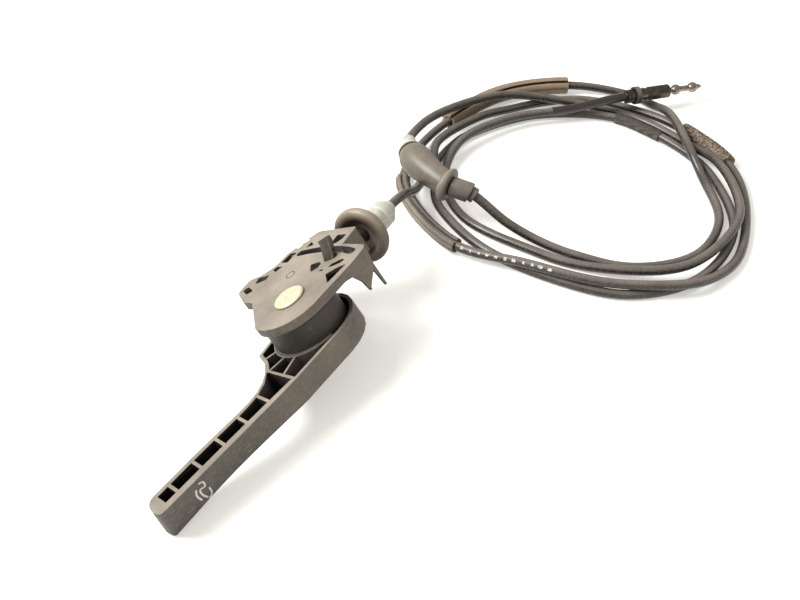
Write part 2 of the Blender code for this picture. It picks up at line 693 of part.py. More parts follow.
# Pivot rivet and washer, on the same axis
def build_rivet():
    """Domed head above the plate, shank through the stack, upset tail under the boss."""
    tail_top = RIM - HEAD_DEPTH + 5.0 * MM - RUN_GAP
    head_base = SEAT_GAP
    edge = 0.4 * MM
    return turned([
        (0.0, tail_top - 1.5 * MM),
        (RIVET_TAIL_RADIUS - edge, tail_top - 1.5 * MM),
        (RIVET_TAIL_RADIUS, tail_top - 1.5 * MM + edge),
        (RIVET_TAIL_RADIUS, tail_top),
        (RIVET_RADIUS, tail_top),
        (RIVET_RADIUS, head_base),
        (RIVET_HEAD_RADIUS, head_base),
        (RIVET_HEAD_RADIUS, head_base + RIVET_HEAD * 0.5),
        (RIVET_HEAD_RADIUS * 0.93, head_base + RIVET_HEAD * 0.85),
        (RIVET_HEAD_RADIUS * 0.6, head_base + RIVET_HEAD),
        (RIVET_HEAD_RADIUS * 0.2, head_base + RIVET_HEAD),
        (RIVET_HEAD_RADIUS * 0.14, head_base + RIVET_HEAD - edge),
        (0.0, head_base + RIVET_HEAD - edge),
    ], 32)


pivot_rivet = add_object("pivot_rivet", build_rivet(), material("rivet steel", *BARE_STEEL), pivot_axis)
pivot_washer = add_object("pivot_washer", turned([
    (BORE_RADIUS, WASHER_TOP - WASHER_THICKNESS),
    (WASHER_RADIUS, WASHER_TOP - WASHER_THICKNESS),
    (WASHER_RADIUS, WASHER_TOP),
    (BORE_RADIUS, WASHER_TOP),
], 32), material("washer steel", *BARE_STEEL), pivot_axis)


# Wire end: a nipple in the crank's seat and the wire that leads into the sleeve
wire_nipple = add_object("wire_nipple", moved(turned([
    (0.0, -CRANK_THICKNESS / 2),
    (NIPPLE_RADIUS, -CRANK_THICKNESS / 2),
    (NIPPLE_RADIUS, CRANK_THICKNESS / 2),
    (0.0, CRANK_THICKNESS / 2),
], 20), Matrix.Translation(HOOK)), material("nipple steel", *BARE_STEEL), pivot_axis)


def tube(name, points, radius, finish, sides=2, parent=None):
    """A round tube with closed ends through a list of points."""
    line = bpy.data.curves.new(name, "CURVE")
    line.dimensions = "3D"
    line.bevel_depth = radius
    line.bevel_resolution = sides
    line.use_fill_caps = True
    spline = line.splines.new("POLY")
    spline.points.add(len(points) - 1)
    for place, point in zip(spline.points, points):
        place.co = (*point, 1.0)
    made = bpy.data.objects.new(name, line)
    bpy.context.collection.objects.link(made)
    made.parent = parent
    line.materials.append(finish)
    return made


def wire_route():
    """From the nipple to the sleeve, easing into the line of the cable."""
    aim = (WIRE_END - HOOK).normalized()
    start = HOOK + aim * (NIPPLE_RADIUS + SEAT_GAP)
    inside = [cable_line @ Vector((0.0, 0.0, s * MM)) for s in (-12.0, -9.0, -4.0)]
    before = cable_line @ Vector((0.0, 0.0, -16.0 * MM))
    return [start, start.lerp(before, 0.5), start.lerp(before, 0.85)] + inside


wire_steel = material("inner wire steel", *BARE_STEEL)
wire_lead = tube("wire_lead", wire_route(), WIRE_RADIUS, wire_steel, parent=pivot_axis)

# Fittings turned about the line of the cable
wire_ferrule = add_object("wire_ferrule", moved(turned([
    (WIRE_RADIUS + SEAT_GAP, FERRULE_END),
    (FERRULE_RADIUS - 0.5 * MM, FERRULE_END),
    (FERRULE_RADIUS, FERRULE_END + 0.6 * MM),
    (FERRULE_RADIUS, SLEEVE_FRONT - SEAT_GAP),
    (WIRE_RADIUS + SEAT_GAP, SLEEVE_FRONT - SEAT_GAP),
], 16), cable_line), material("zinc plated ferrule", *ZINC_STEEL), pivot_axis)


def build_sleeve():
    """Cable sleeve: neck through the bracket, flange behind the grommet, stepped tail."""
    wire = WIRE_RADIUS + SEAT_GAP
    bore = CONDUIT_RADIUS + SEAT_GAP
    seat = CONDUIT_START - SEAT_GAP
    flange = GROMMET_FRONT + GROMMET_DEPTH + SEAT_GAP
    back = flange + SLEEVE_FLANGE
    return turned([
        (wire, SLEEVE_FRONT),
        (SLEEVE_NECK - 0.4 * MM, SLEEVE_FRONT),
        (SLEEVE_NECK, SLEEVE_FRONT + 0.4 * MM),
        (SLEEVE_NECK, flange),
        (SLEEVE_FLANGE_RADIUS, flange),
        (SLEEVE_FLANGE_RADIUS, back),
        (8.8 * MM, back),
        (8.5 * MM, back + 4.6 * MM),
        (7.2 * MM, back + 5.4 * MM),
        (6.9 * MM, back + 12.0 * MM),
        (7.6 * MM, back + 12.6 * MM),
        (7.6 * MM, back + 18.6 * MM),
        (7.0 * MM, back + 19.2 * MM),
        (4.8 * MM, back + 19.2 * MM),
        (4.6 * MM, SLEEVE_BACK),
        (bore, SLEEVE_BACK),
        (bore, seat),
        (wire, seat),
    ], 32)


def build_grommet():
    """Rubber panel grommet: a fat ring with an open mouth and a web round the sleeve."""
    front = GROMMET_FRONT
    back = front + GROMMET_DEPTH
    web = back - 2.6 * MM
    outer = GROMMET_RADIUS
    mouth = GROMMET_OPENING
    return turned([
        (SLEEVE_NECK + SEAT_GAP, web),
        (mouth - 1.4 * MM, web),
        (mouth, web - 1.4 * MM),
        (mouth, front + 0.9 * MM),
        (mouth + 0.9 * MM, front),
        (outer - 2.4 * MM, front),
        (outer - 0.7 * MM, front + 0.8 * MM),
        (outer, front + 2.4 * MM),
        (outer, front + 3.8 * MM),
        (outer - 0.7 * MM, back - 0.8 * MM),
        (outer - 2.4 * MM, back),
        (SLEEVE_NECK + SEAT_GAP, back),
    ], 36)


sleeve_plastic = material("pale green acetal", (0.62, 0.66, 0.56), 0.5)
grommet_rubber = material("black rubber", (0.05, 0.048, 0.045), 0.7)
adjuster_sleeve = add_object("adjuster_sleeve", moved(build_sleeve(), cable_line), sleeve_plastic, pivot_axis)
panel_grommet = add_object("panel_grommet", moved(build_grommet(), cable_line), grommet_rubber, pivot_axis)

# Route of the cable where it lies on the surface, in millimetres, from the sleeve to the end fitting
LAY = [
    (126, 5, 29.5), (148, 11.5, 15.5), (173, 20, 4.5), (211, 25, 3), (232, 22, 3), (275, -3, 3),
    (300, -47, 3.8), (298, -75, 4.1), (290, -103, 3.7), (276, -126, 3), (234, -156, 3), (182, -155, 3),
    (148, -127, 3), (137, -85, 3), (139, -39, 3), (159, 2, 3.4), (172, 12, 8.6), (187, 22, 14),
    (202, 28, 13), (245, 25, 7), (270, 16, 3), (309, -20, 3), (317, -71, 3.6), (307, -102, 5),
    (291, -131, 5), (266, -151, 3), (213, -167, 3), (187, -163, 5), (166, -151, 8.8), (144, -114, 8.8),
    (134, -70, 8.8), (130, -27, 5), (159, 26, 4.9), (193, 39, 5.6), (235, 39, 6), (284, 25, 6),
    (318, -10, 6), (333, -47, 3), (328, -65, 4.5), (314, -82, 11), (281, -110, 10.5), (270, -122, 5),
    (237, -146, 3), (199, -146, 3), (170, -120, 3), (161, -81, 3), (158, -48, 9.5), (155, -23, 23.5),
    (151.5, -9, 26.5), (169, 29, 26.5), (199, 39, 22.5), (235, 36.5, 17), (271, 19, 13.2), (296, -13, 6.5),
    (309, -61, 3), (296, -105, 5), (282, -128, 8.9), (240, -156, 9), (190, -151, 9), (170, -136, 8.6),
    (155, -93, 3), (152, -66, 3), (156, -19, 3), (181, 10, 3.5), (215, 19, 8.8), (255, 5, 8.9),
    (285, -24, 10), (305, -47, 15.6), (315, -55, 15.1),
]


def lay_points():
    """The cable's route: straight out of the sleeve, then the points of the lay."""
    out = pivot_axis.matrix_world @ cable_line
    straight = [out @ Vector((0.0, 0.0, s)) for s in (CONDUIT_START, 24.0 * MM, 34.0 * MM, 39.5 * MM)]
    return straight + [Vector(p) * MM for p in LAY]


def smooth_line(points, steps=8):
    """Points along a smooth curve through the route's own points."""
    first = points[0] * 2 - points[1]
    last = points[-1] * 2 - points[-2]
    padded = [first] + points + [last]
    line = []
    for p0, p1, p2, p3 in zip(padded, padded[1:], padded[2:], padded[3:]):
        t0 = math.sqrt((p1 - p0).length)
        t1 = math.sqrt((p2 - p1).length)
        t2 = math.sqrt((p3 - p2).length)
        lead_in = (p2 - p1) + ((p1 - p0) / t0 - (p2 - p0) / (t0 + t1)) * t1
        lead_out = (p2 - p1) + ((p3 - p2) / t2 - (p3 - p1) / (t1 + t2)) * t1
        for k in range(steps):
            u = k / steps
            line.append(
                p1 * (2 * u**3 - 3 * u**2 + 1) + lead_in * (u**3 - 2 * u**2 + u)
                + p2 * (3 * u**2 - 2 * u**3) + lead_out * (u**3 - u**2)
            )
    line.append(points[-1])
    for point in line:
        point.z = max(point.z, CONDUIT_RADIUS)
    return line


class Route:
    """A line that can be asked for a place and a heading at a length along it."""

    def __init__(self, points, lengths=None):
        self.points = points
        self.lengths = lengths or [0.0]
        for a, b in zip(points, points[len(self.lengths):]):
            self.lengths.append(self.lengths[-1] + (b - a).length)

    def place(self, length):
        """The point at a length along the line."""
        k = int(np.searchsorted(self.lengths, length, side="right")) - 1
        k = max(0, min(k, len(self.points) - 2))
        share = (length - self.lengths[k]) / (self.lengths[k + 1] - self.lengths[k])
        return self.points[k].lerp(self.points[k + 1], share)

    def heading(self, length):
        """The direction of the line there, taken over a few millimetres."""
        return (self.place(length + 3 * MM) - self.place(length - 3 * MM)).normalized()


route = Route(smooth_line(lay_points()))
CABLE_LENGTH = route.lengths[-1]
DRESSED = (
    (0.0, SLEEVE_BACK),
    (SPLIT_SLEEVE_START, SPLIT_SLEEVE_START + SPLIT_SLEEVE_LENGTH),
    (FLUTED_SLEEVE_START, FLUTED_SLEEVE_START + FLUTED_SLEEVE_LENGTH),
    (FOAM_START, FOAM_START + FOAM_LENGTH),
    (TAPE_START, TAPE_START + TAPE_LENGTH),
    (BOOT_START - NECK_LENGTH, BOOT_START + BOOT_LENGTH + INSERT_LENGTH),
    (CABLE_LENGTH - 8.0 * MM, CABLE_LENGTH),
)


def tube_stations():
    """Lengths at which the tube has a point: close together in tight bends and under sleeves."""
    stations = [0.0]
    while stations[-1] < CABLE_LENGTH:
        here = stations[-1]
        dressed = any(a - 12.0 * MM < here < b for a, b in DRESSED)
        sag_allowed = 0.35 * MM if dressed else 1.3 * MM
        longest = 15.0 * MM if dressed else 36.0 * MM
        step = 10.0 * MM
        while step < longest and here + step < CABLE_LENGTH:
            chord_middle = route.place(here).lerp(route.place(here + step + MM), 0.5)
            if (chord_middle - route.place(here + 0.5 * (step + MM))).length > sag_allowed:
                break
            step += MM
        stations.append(min(here + step, CABLE_LENGTH))
    if stations[-1] - stations[-2] < 6.0 * MM:
        stations.pop(-2)
    return stations


conduit_plastic = material("black conduit sheath", (0.10, 0.09, 0.08), 0.5)
stations = tube_stations()
laid = Route([route.place(length) for length in stations], stations)
cable_conduit = tube("cable_conduit", laid.points, CONDUIT_RADIUS, conduit_plastic)


def with_bends(sections):
    """Sections with one more at each point of the tube that lies between them."""
    result = [sections[0]]
    for (a, ra), (b, rb) in zip(sections, sections[1:]):
        for length in laid.lengths:
            if a + 1.0 * MM < length < b - 1.0 * MM:
                result.append((length, ra + (rb - ra) * (length - a) / (b - a)))
        result.append((b, rb))
    return result


def sheath(sections, bore, flute_depth=0.0, sides=20):
    """A hollow sleeve that follows the cable; sections are (length along it, outer radius)."""
    shape = bmesh.new()
    sections = with_bends(sections)
    rings = []
    side = Vector((0.0, 0.0, 1.0))
    for length, outer in sections:
        centre = laid.place(length)
        ahead = laid.heading(length)
        across = ahead.cross(side).normalized()
        up = across.cross(ahead)
        pair = []
        for radius, fluted in ((outer, True), (bore, False)):
            ring = []
            for k in range(sides):
                angle = math.tau * k / sides
                r = radius - flute_depth * (k % 2) if fluted else radius
                ring.append(shape.verts.new(centre + across * r * math.cos(angle) + up * r * math.sin(angle)))
            pair.append(ring)
        rings.append(pair)
    for (outer_a, inner_a), (outer_b, inner_b) in zip(rings, rings[1:]):
        for k in range(sides):
            n = (k + 1) % sides
            shape.faces.new((outer_a[k], outer_a[n], outer_b[n], outer_b[k]))
            shape.faces.new((inner_a[n], inner_a[k], inner_b[k], inner_b[n]))
    for (outer, inner), turn in ((rings[0], 1), (rings[-1], -1)):
        for k in range(sides):
            n = (k + turn) % sides
            shape.faces.new((outer[k], inner[k], inner[n], outer[n]))
    return mesh_of(shape)


def plain(start, length, radius):
    """Two sections of one radius."""
    return [(start, radius), (start + length, radius)]


SHEATH_BORE = CONDUIT_RADIUS + 0.45 * MM
split_plastic = material("worn brown-black plastic", (0.12, 0.10, 0.085), 0.6)
fluted_plastic = material("brown fluted plastic", (0.19, 0.145, 0.105), 0.55)
foam = material("dark foam tape", (0.07, 0.06, 0.052), 0.9)
tape = material("black cloth tape", (0.035, 0.033, 0.032), 0.8)
split_sleeve = add_object("split_sleeve", sheath(
    plain(SPLIT_SLEEVE_START, SPLIT_SLEEVE_LENGTH, SPLIT_SLEEVE_RADIUS), SHEATH_BORE, 0.5 * MM), split_plastic)
fluted_sleeve = add_object("fluted_sleeve", sheath(
    plain(FLUTED_SLEEVE_START, FLUTED_SLEEVE_LENGTH, FLUTED_SLEEVE_RADIUS), SHEATH_BORE, 0.7 * MM), fluted_plastic)
foam_wrap = add_object("foam_wrap", sheath(plain(FOAM_START, FOAM_LENGTH, FOAM_RADIUS), SHEATH_BORE), foam)
tape_wrap = add_object("tape_wrap", sheath(plain(TAPE_START, TAPE_LENGTH, TAPE_RADIUS), SHEATH_BORE), tape)

# Boot: domed rubber elbow with a clamp ring, a neck sleeve and a flanged insert at its outlet
boot_rubber = material("grey-brown rubber boot", (0.20, 0.175, 0.15), 0.65)
ring_plastic = material("black clamp ring", *BLACK_NYLON)
neck_plastic = material("black neck sleeve", *BLACK_NYLON)
insert_plastic = material("off-white insert", (0.72, 0.69, 0.62), 0.5)


def boot_sections():
    """Outer radius of the boot along the cable, with a seat for the ring and a dome."""
    seat = BOOT_RADIUS - RING_SEAT
    ring_end = BOOT_START + RING_WIDTH + 2 * SEAT_GAP
    boot_end = BOOT_START + BOOT_LENGTH
    sections = [(BOOT_START, seat), (ring_end, seat), (ring_end + 0.1 * MM, BOOT_RADIUS)]
    for degrees in (0, 30, 55, 75):
        angle = math.radians(degrees)
        reach = boot_end - BOOT_RADIUS * (1.0 - math.sin(angle))
        sections.append((reach, BOOT_RADIUS * math.cos(angle) + 3.6 * MM * math.sin(angle)))
    return sections


elbow_boot = add_object("elbow_boot", sheath(boot_sections(), SHEATH_BORE, sides=24), boot_rubber)
boot_ring = add_object("boot_ring", sheath(
    plain(BOOT_START + SEAT_GAP, RING_WIDTH, BOOT_RING_RADIUS), BOOT_RADIUS - RING_SEAT + 2 * SEAT_GAP, sides=24,
), ring_plastic)
neck_end = BOOT_START - SEAT_GAP
neck_step = neck_end - 9.0 * MM
neck_sleeve = add_object("neck_sleeve", sheath(
    [(neck_end - NECK_LENGTH, 5.0 * MM), (neck_step, 5.6 * MM),
     (neck_step + 0.1 * MM, 6.6 * MM), (neck_end, 6.6 * MM)],
    SHEATH_BORE,
), neck_plastic)
insert_start = boot_sections()[-1][0] + SEAT_GAP
flange_end = insert_start + 2.0 * MM
flange_insert = add_object("flange_insert", sheath(
    [(insert_start, 7.6 * MM), (flange_end, 7.6 * MM), (flange_end + 0.1 * MM, 5.4 * MM),
     (insert_start + INSERT_LENGTH, 5.0 * MM)],
    SHEATH_BORE,
), insert_plastic)

# End fitting: crimped sleeve with a collar, and the double-ball stud on the wire's end
end_place = laid.points[-1]
end_axis = laid.heading(laid.lengths[-1])
end_line = Matrix.Translation(end_place) @ end_axis.to_track_quat("Z", "Y").to_matrix().to_4x4()
STUD_START = STUD_STROKE + 2 * SEAT_GAP
BALL_BORE_START = END_SLEEVE_LENGTH + STUD_REACH - STUD_BALL_RADIUS - STUD_STROKE - 2 * RUN_GAP


def build_end_sleeve():
    """Steel guide over the end of the conduit: a close bore for the shank, a wide one for the ball."""
    bore = CONDUIT_RADIUS + SEAT_GAP
    shank = STUD_RADIUS + RUN_GAP
    wide = STUD_BALL_RADIUS + RUN_GAP
    r = END_SLEEVE_RADIUS
    groove = END_COLLAR_WIDTH + 4.0 * MM
    return turned([
        (bore, -CONDUIT_SEAT),
        (r, -CONDUIT_SEAT),
        (r, groove),
        (r - 0.4 * MM, groove + 0.6 * MM),
        (r - 0.4 * MM, groove + 2.6 * MM),
        (r, groove + 3.2 * MM),
        (r, END_SLEEVE_LENGTH - 0.3 * MM),
        (r - 0.3 * MM, END_SLEEVE_LENGTH),
        (wide, END_SLEEVE_LENGTH),
        (wide, BALL_BORE_START),
        (shank, BALL_BORE_START),
        (shank, SEAT_GAP),
        (bore, SEAT_GAP),
    ], 24)


def ball(centre, radius, neck, count=4):
    """Half profile of a ball on a shank."""
    low = math.asin(neck / radius)
    points = []
    for k in range(count + 1):
        angle = low + (math.pi - 2 * low) * k / count
        points.append((radius * math.sin(angle), centre - radius * math.cos(angle)))
    return points


def build_stud():
    """Shank, two balls and a pointed tip."""
    neck = 1.9 * MM
    first = END_SLEEVE_LENGTH + STUD_REACH
    second = first + STUD_BALL_PITCH
    profile = [(0.0, STUD_START), (STUD_RADIUS, STUD_START), (STUD_RADIUS, first - STUD_BALL_RADIUS)]
    profile += ball(first, STUD_BALL_RADIUS, neck)
    profile += ball(second, STUD_BALL_RADIUS, neck)
    profile += [(neck, second + 4.0 * MM), (0.8 * MM, second + 6.5 * MM), (0.0, second + 6.5 * MM)]
    return turned(profile, 20)


end_zinc = material("zinc plated guide", *ZINC_STEEL)
end_sleeve = add_object("end_sleeve", moved(build_end_sleeve(), end_line), end_zinc)
end_collar = add_object("end_collar", moved(turned([
    (END_SLEEVE_RADIUS + SEAT_GAP, 0.0),
    (END_COLLAR_RADIUS, 0.0),
    (END_COLLAR_RADIUS, END_COLLAR_WIDTH),
    (END_SLEEVE_RADIUS + SEAT_GAP, END_COLLAR_WIDTH),
], 24), end_line), material("black end collar", *BLACK_NYLON))
end_stud = add_object("end_stud", moved(build_stud(), end_line), material("stud steel", *BARE_STEEL))
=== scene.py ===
"""Looks of the hood release handle and its cable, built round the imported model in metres."""

import math
import random

import bmesh
import bpy
from mathutils import Matrix, Vector, noise
from mathutils.bvhtree import BVHTree


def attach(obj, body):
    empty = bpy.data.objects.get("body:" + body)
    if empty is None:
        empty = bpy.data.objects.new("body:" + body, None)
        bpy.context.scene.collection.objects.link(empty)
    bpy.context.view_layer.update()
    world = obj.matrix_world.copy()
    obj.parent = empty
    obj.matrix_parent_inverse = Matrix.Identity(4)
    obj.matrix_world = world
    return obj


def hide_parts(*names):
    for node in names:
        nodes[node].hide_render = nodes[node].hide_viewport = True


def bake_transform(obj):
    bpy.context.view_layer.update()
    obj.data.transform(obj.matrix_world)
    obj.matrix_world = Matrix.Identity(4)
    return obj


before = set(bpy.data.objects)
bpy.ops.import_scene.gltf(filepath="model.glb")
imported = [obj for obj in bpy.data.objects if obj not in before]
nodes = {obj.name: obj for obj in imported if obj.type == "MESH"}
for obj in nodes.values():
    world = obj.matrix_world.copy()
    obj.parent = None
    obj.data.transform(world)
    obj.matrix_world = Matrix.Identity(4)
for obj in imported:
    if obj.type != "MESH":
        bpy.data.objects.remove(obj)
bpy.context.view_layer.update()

# Camera: it stands over the grip's right side and looks down along the cable, with a normal
# lens and no roll.
camera_data = bpy.data.cameras.new("camera")
camera_data.lens = 45.0
camera_data.sensor_width = 36.0
camera = bpy.data.objects.new("camera", camera_data)
bpy.context.scene.collection.objects.link(camera)
camera_place = Vector((-0.24975, -0.23987, 0.37985))
camera_aim = Vector((0.6012, 0.3949, -0.6947))
camera.matrix_world = (
    Matrix.Translation(camera_place) @ camera_aim.to_track_quat("-Z", "Y").to_matrix().to_4x4()
)
bpy.context.scene.camera = camera

# Cable conduit: a black PVC sheath over wound steel, about 2.6 m of it, greyed by road dust, its
# upward faces painted paler and its flanks darker as painted light. It leaves the sleeve level,
# drops to the floor and lies in four loose turns.
CONDUIT_RADIUS = 0.00275
OUT_OF_SLEEVE = [
    (0.08007, -0.00218, 0.03901), (0.09195, -0.00094, 0.03791), (0.10186, 0.00009, 0.03699),
    (0.1073, 0.00066, 0.03648),
]
LAY = [
    (0.126, 0.005, 0.0295), (0.148, 0.0115, 0.0155), (0.173, 0.020, 0.0045), (0.211, 0.025, 0.003),
    (0.232, 0.022, 0.003), (0.275, -0.003, 0.003), (0.300, -0.047, 0.0038), (0.298, -0.075, 0.0041),
    (0.290, -0.103, 0.0037), (0.276, -0.126, 0.003), (0.234, -0.156, 0.003), (0.182, -0.155, 0.003),
    (0.148, -0.127, 0.003), (0.137, -0.085, 0.003), (0.139, -0.039, 0.003), (0.159, 0.002, 0.0034),
    (0.172, 0.012, 0.0086), (0.187, 0.022, 0.014), (0.202, 0.028, 0.013), (0.245, 0.025, 0.007),
    (0.270, 0.016, 0.003), (0.309, -0.020, 0.003), (0.317, -0.071, 0.0036), (0.307, -0.102, 0.005),
    (0.291, -0.131, 0.005), (0.266, -0.151, 0.003), (0.213, -0.167, 0.003), (0.187, -0.163, 0.005),
    (0.166, -0.151, 0.0088), (0.144, -0.114, 0.0088), (0.134, -0.070, 0.0088), (0.130, -0.027, 0.005),
    (0.159, 0.026, 0.0049), (0.193, 0.039, 0.0056), (0.235, 0.039, 0.006), (0.284, 0.025, 0.006),
    (0.318, -0.010, 0.006), (0.333, -0.047, 0.003), (0.328, -0.065, 0.0045), (0.314, -0.082, 0.011),
    (0.281, -0.110, 0.0105), (0.270, -0.122, 0.005), (0.237, -0.146, 0.003), (0.199, -0.146, 0.003),
    (0.170, -0.120, 0.003), (0.161, -0.081, 0.003), (0.158, -0.048, 0.0095), (0.155, -0.023, 0.0235),
    (0.1515, -0.009, 0.0265), (0.169, 0.029, 0.0265), (0.199, 0.039, 0.0225), (0.235, 0.0365, 0.017),
    (0.271, 0.019, 0.0132), (0.296, -0.013, 0.0065), (0.309, -0.061, 0.003), (0.296, -0.105, 0.005),
    (0.282, -0.128, 0.0089), (0.240, -0.156, 0.009), (0.190, -0.151, 0.009), (0.170, -0.136, 0.0086),
    (0.155, -0.093, 0.003), (0.152, -0.066, 0.003), (0.156, -0.019, 0.003), (0.181, 0.010, 0.0035),
    (0.215, 0.019, 0.0088), (0.255, 0.005, 0.0089), (0.285, -0.024, 0.010), (0.305, -0.047, 0.0156),
    (0.315, -0.055, 0.0151),
]


def smooth_line(points, steps):
    """Points along a smooth curve through the route's own points."""
    padded = [points[0] * 2 - points[1]] + points + [points[-1] * 2 - points[-2]]
    line = []
    for p0, p1, p2, p3 in zip(padded, padded[1:], padded[2:], padded[3:]):
        t0 = math.sqrt((p1 - p0).length)
        t1 = math.sqrt((p2 - p1).length)
        t2 = math.sqrt((p3 - p2).length)
        lead_in = (p2 - p1) + ((p1 - p0) / t0 - (p2 - p0) / (t0 + t1)) * t1
        lead_out = (p2 - p1) + ((p3 - p2) / t2 - (p3 - p1) / (t1 + t2)) * t1
        for k in range(steps):
            u = k / steps
            line.append(
                p1 * (2 * u**3 - 3 * u**2 + 1) + lead_in * (u**3 - 2 * u**2 + u)
                + p2 * (3 * u**2 - 2 * u**3) + lead_out * (u**3 - u**2)
            )
    line.append(points[-1])
    for point in line:
        point.z = max(point.z, CONDUIT_RADIUS)
    return line


route = smooth_line([Vector(p) for p in OUT_OF_SLEEVE + LAY], 8)
route_lengths = [0.0]
for a, b in zip(route, route[1:]):
    route_lengths.append(route_lengths[-1] + (b - a).length)
CABLE_LENGTH = route_lengths[-1]


def on_cable(length):
    """The point of the cable at a length from its start in the sleeve."""
    k = 0
    while k < len(route) - 2 and route_lengths[k + 1] < length:
        k += 1
    share = (length - route_lengths[k]) / (route_lengths[k + 1] - route_lengths[k])
    return route[k].lerp(route[k + 1], share)


def cable_axes(length):
    """Place, heading, sideways and upward directions of the cable at a length."""
    ahead = (on_cable(length + 0.003) - on_cable(length - 0.003)).normalized()
    across = ahead.cross(Vector((0.0, 0.0, 1.0))).normalized()
    return on_cable(length), ahead, across, across.cross(ahead)


def round_cord(name, points, radius, sides):
    """A round cord with closed ends as a curve through points."""
    line = bpy.data.curves.new(name, "CURVE")
    line.dimensions = "3D"
    line.bevel_depth = radius
    line.bevel_resolution = sides
    line.use_fill_caps = True
    spline = line.splines.new("POLY")
    spline.points.add(len(points) - 1)
    for place, point in zip(spline.points, points):
        place.co = (*point, 1.0)
    spline.use_smooth = True
    made = bpy.data.objects.new(name, line)
    bpy.context.scene.collection.objects.link(made)
    return made


def linear(hex_colour):
    """An sRGB hex colour as linear RGBA."""
    channels = [int(hex_colour[i:i + 2], 16) / 255.0 for i in (1, 3, 5)]
    return [c / 12.92 if c <= 0.04045 else ((c + 0.055) / 1.055) ** 2.4 for c in channels] + [1.0]


def new_finish(name, roughness, metallic=0.0, ior=1.5):
    """An empty Principled finish."""
    made = bpy.data.materials.new(name)
    made.use_nodes = True
    shader = made.node_tree.nodes["Principled BSDF"]
    shader.inputs["Roughness"].default_value = roughness
    shader.inputs["Metallic"].default_value = metallic
    shader.inputs["IOR"].default_value = ior
    return made, shader


def add_node(finish, kind, inputs, **settings):
    """Add a shader node: inputs are values or other nodes' sockets, settings are its own."""
    made = finish.node_tree.nodes.new("ShaderNode" + kind)
    for name, value in settings.items():
        setattr(made, name, value)
    for name, value in inputs.items():
        if isinstance(value, bpy.types.NodeSocket):
            finish.node_tree.links.new(value, made.inputs[name])
        else:
            made.inputs[name].default_value = value
    return made


def mix_colours(finish, share, low, high):
    """Mix two colours, each given as sRGB hex or as a node's socket."""
    low, high = [linear(colour) if isinstance(colour, str) else colour for colour in (low, high)]
    return add_node(finish, "Mix", {0: share, 6: low, 7: high}, data_type="RGBA").outputs[2]


def dusty_pvc_with_painted_light():
    """Extruded PVC, glossy where wiped, matt where dust has settled; upward faces paler, flanks darker:
    dust and painted light.
    """
    finish, shader = new_finish("dusty extruded PVC with painted top light", 0.5, ior=1.53)
    place = add_node(finish, "TexCoord", {}).outputs["Object"]
    blotch = add_node(
        finish, "TexNoise", {"Vector": place, "Scale": 1 / 0.045, "Detail": 6.0, "Roughness": 0.62}
    )
    grit = add_node(
        finish, "TexNoise", {"Vector": place, "Scale": 1 / 0.0012, "Detail": 4.0, "Roughness": 0.7}
    )
    facing = add_node(finish, "NewGeometry", {}).outputs["Normal"]
    upward = add_node(finish, "SeparateXYZ", {"Vector": facing}).outputs["Z"]
    # Painted light: what faces up is painted paler and the flanks near-black, on top of the settled dust.
    faces_up = add_node(finish, "MapRange", {"Value": upward, "From Min": 0.1, "From Max": 1.0})
    dust_and_light_raw = add_node(
        finish, "Math", {0: faces_up.outputs[0], 1: blotch.outputs["Fac"]}, operation="MULTIPLY"
    )
    dust = add_node(finish, "MapRange", {"Value": dust_and_light_raw.outputs[0], "From Min": 0.12, "From Max": 0.6})
    coat = mix_colours(finish, dust.outputs[0], "#1f1b18", "#7e756c")
    spots = add_node(
        finish, "MapRange",
        {"Value": grit.outputs["Fac"], "From Min": 0.45, "From Max": 0.85, "To Max": 0.35}
    )
    colour = mix_colours(finish, spots.outputs[0], coat, "#a69c90")
    finish.node_tree.links.new(colour, shader.inputs["Base Color"])
    rough = add_node(finish, "MapRange", {"Value": dust.outputs[0], "To Min": 0.24, "To Max": 0.42})
    finish.node_tree.links.new(rough.outputs[0], shader.inputs["Roughness"])
    bump = add_node(finish, "Bump", {"Height": grit.outputs["Fac"], "Strength": 0.25, "Distance": 0.0001})
    finish.node_tree.links.new(bump.outputs[0], shader.inputs["Normal"])
    return finish


pvc = dusty_pvc_with_painted_light()
conduit = round_cord("conduit", route, CONDUIT_RADIUS, 6)
conduit.data.materials.append(pvc)
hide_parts("cable_conduit")
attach(conduit, "bracket")

# Printed dashes: a row of short dashes in white marking ink, printed along the conduit just
# before the split sleeve and rubbed thin since.
INK_START = 1.193
INK_PITCH = 0.0052
INK_COUNT = 11
INK_LIFT = 0.00005


def printed_dashes():
    """Small patches just proud of the conduit's skin."""
    shape = bmesh.new()
    dice = random.Random(7)
    for number in range(INK_COUNT):
        start = INK_START - INK_PITCH * number
        dash = dice.uniform(0.0012, 0.0030)
        place, ahead, across, up = cable_axes(start)
        outward = camera_place - place
        turn = math.atan2(outward.dot(up), outward.dot(across)) + dice.uniform(-0.05, 0.05)
        width = math.radians(dice.uniform(14.0, 20.0))
        rows = []
        for i in range(4):
            place, ahead, across, up = cable_axes(start + dash * i / 3)
            row = []
            for j in range(3):
                angle = turn + width * (j - 1)
                radial = across * math.cos(angle) + up * math.sin(angle)
                row.append(shape.verts.new(place + radial * (CONDUIT_RADIUS + INK_LIFT)))
            rows.append(row)
        for lower, upper in zip(rows, rows[1:]):
            for j in range(2):
                shape.faces.new((lower[j], lower[j + 1], upper[j + 1], upper[j]))
    mesh = bpy.data.meshes.new("conduit_dashes")
    shape.to_mesh(mesh)
    shape.free()
    return mesh


def rubbed_ink():
    """White marking ink, rubbed thin so that the sheath shows through in places."""
    finish, shader = new_finish("rubbed marking ink", 0.6)
    place = add_node(finish, "TexCoord", {}).outputs["Object"]
    rub = add_node(finish, "TexNoise", {"Vector": place, "Scale": 1 / 0.0007, "Detail": 3.0})
    share = add_node(
        finish, "MapRange", {"Value": rub.outputs["Fac"], "From Min": 0.45, "From Max": 0.62}
    )
    colour = mix_colours(finish, share.outputs[0], "#e4e1da", "#8a8279")
    finish.node_tree.links.new(colour, shader.inputs["Base Color"])
    return finish


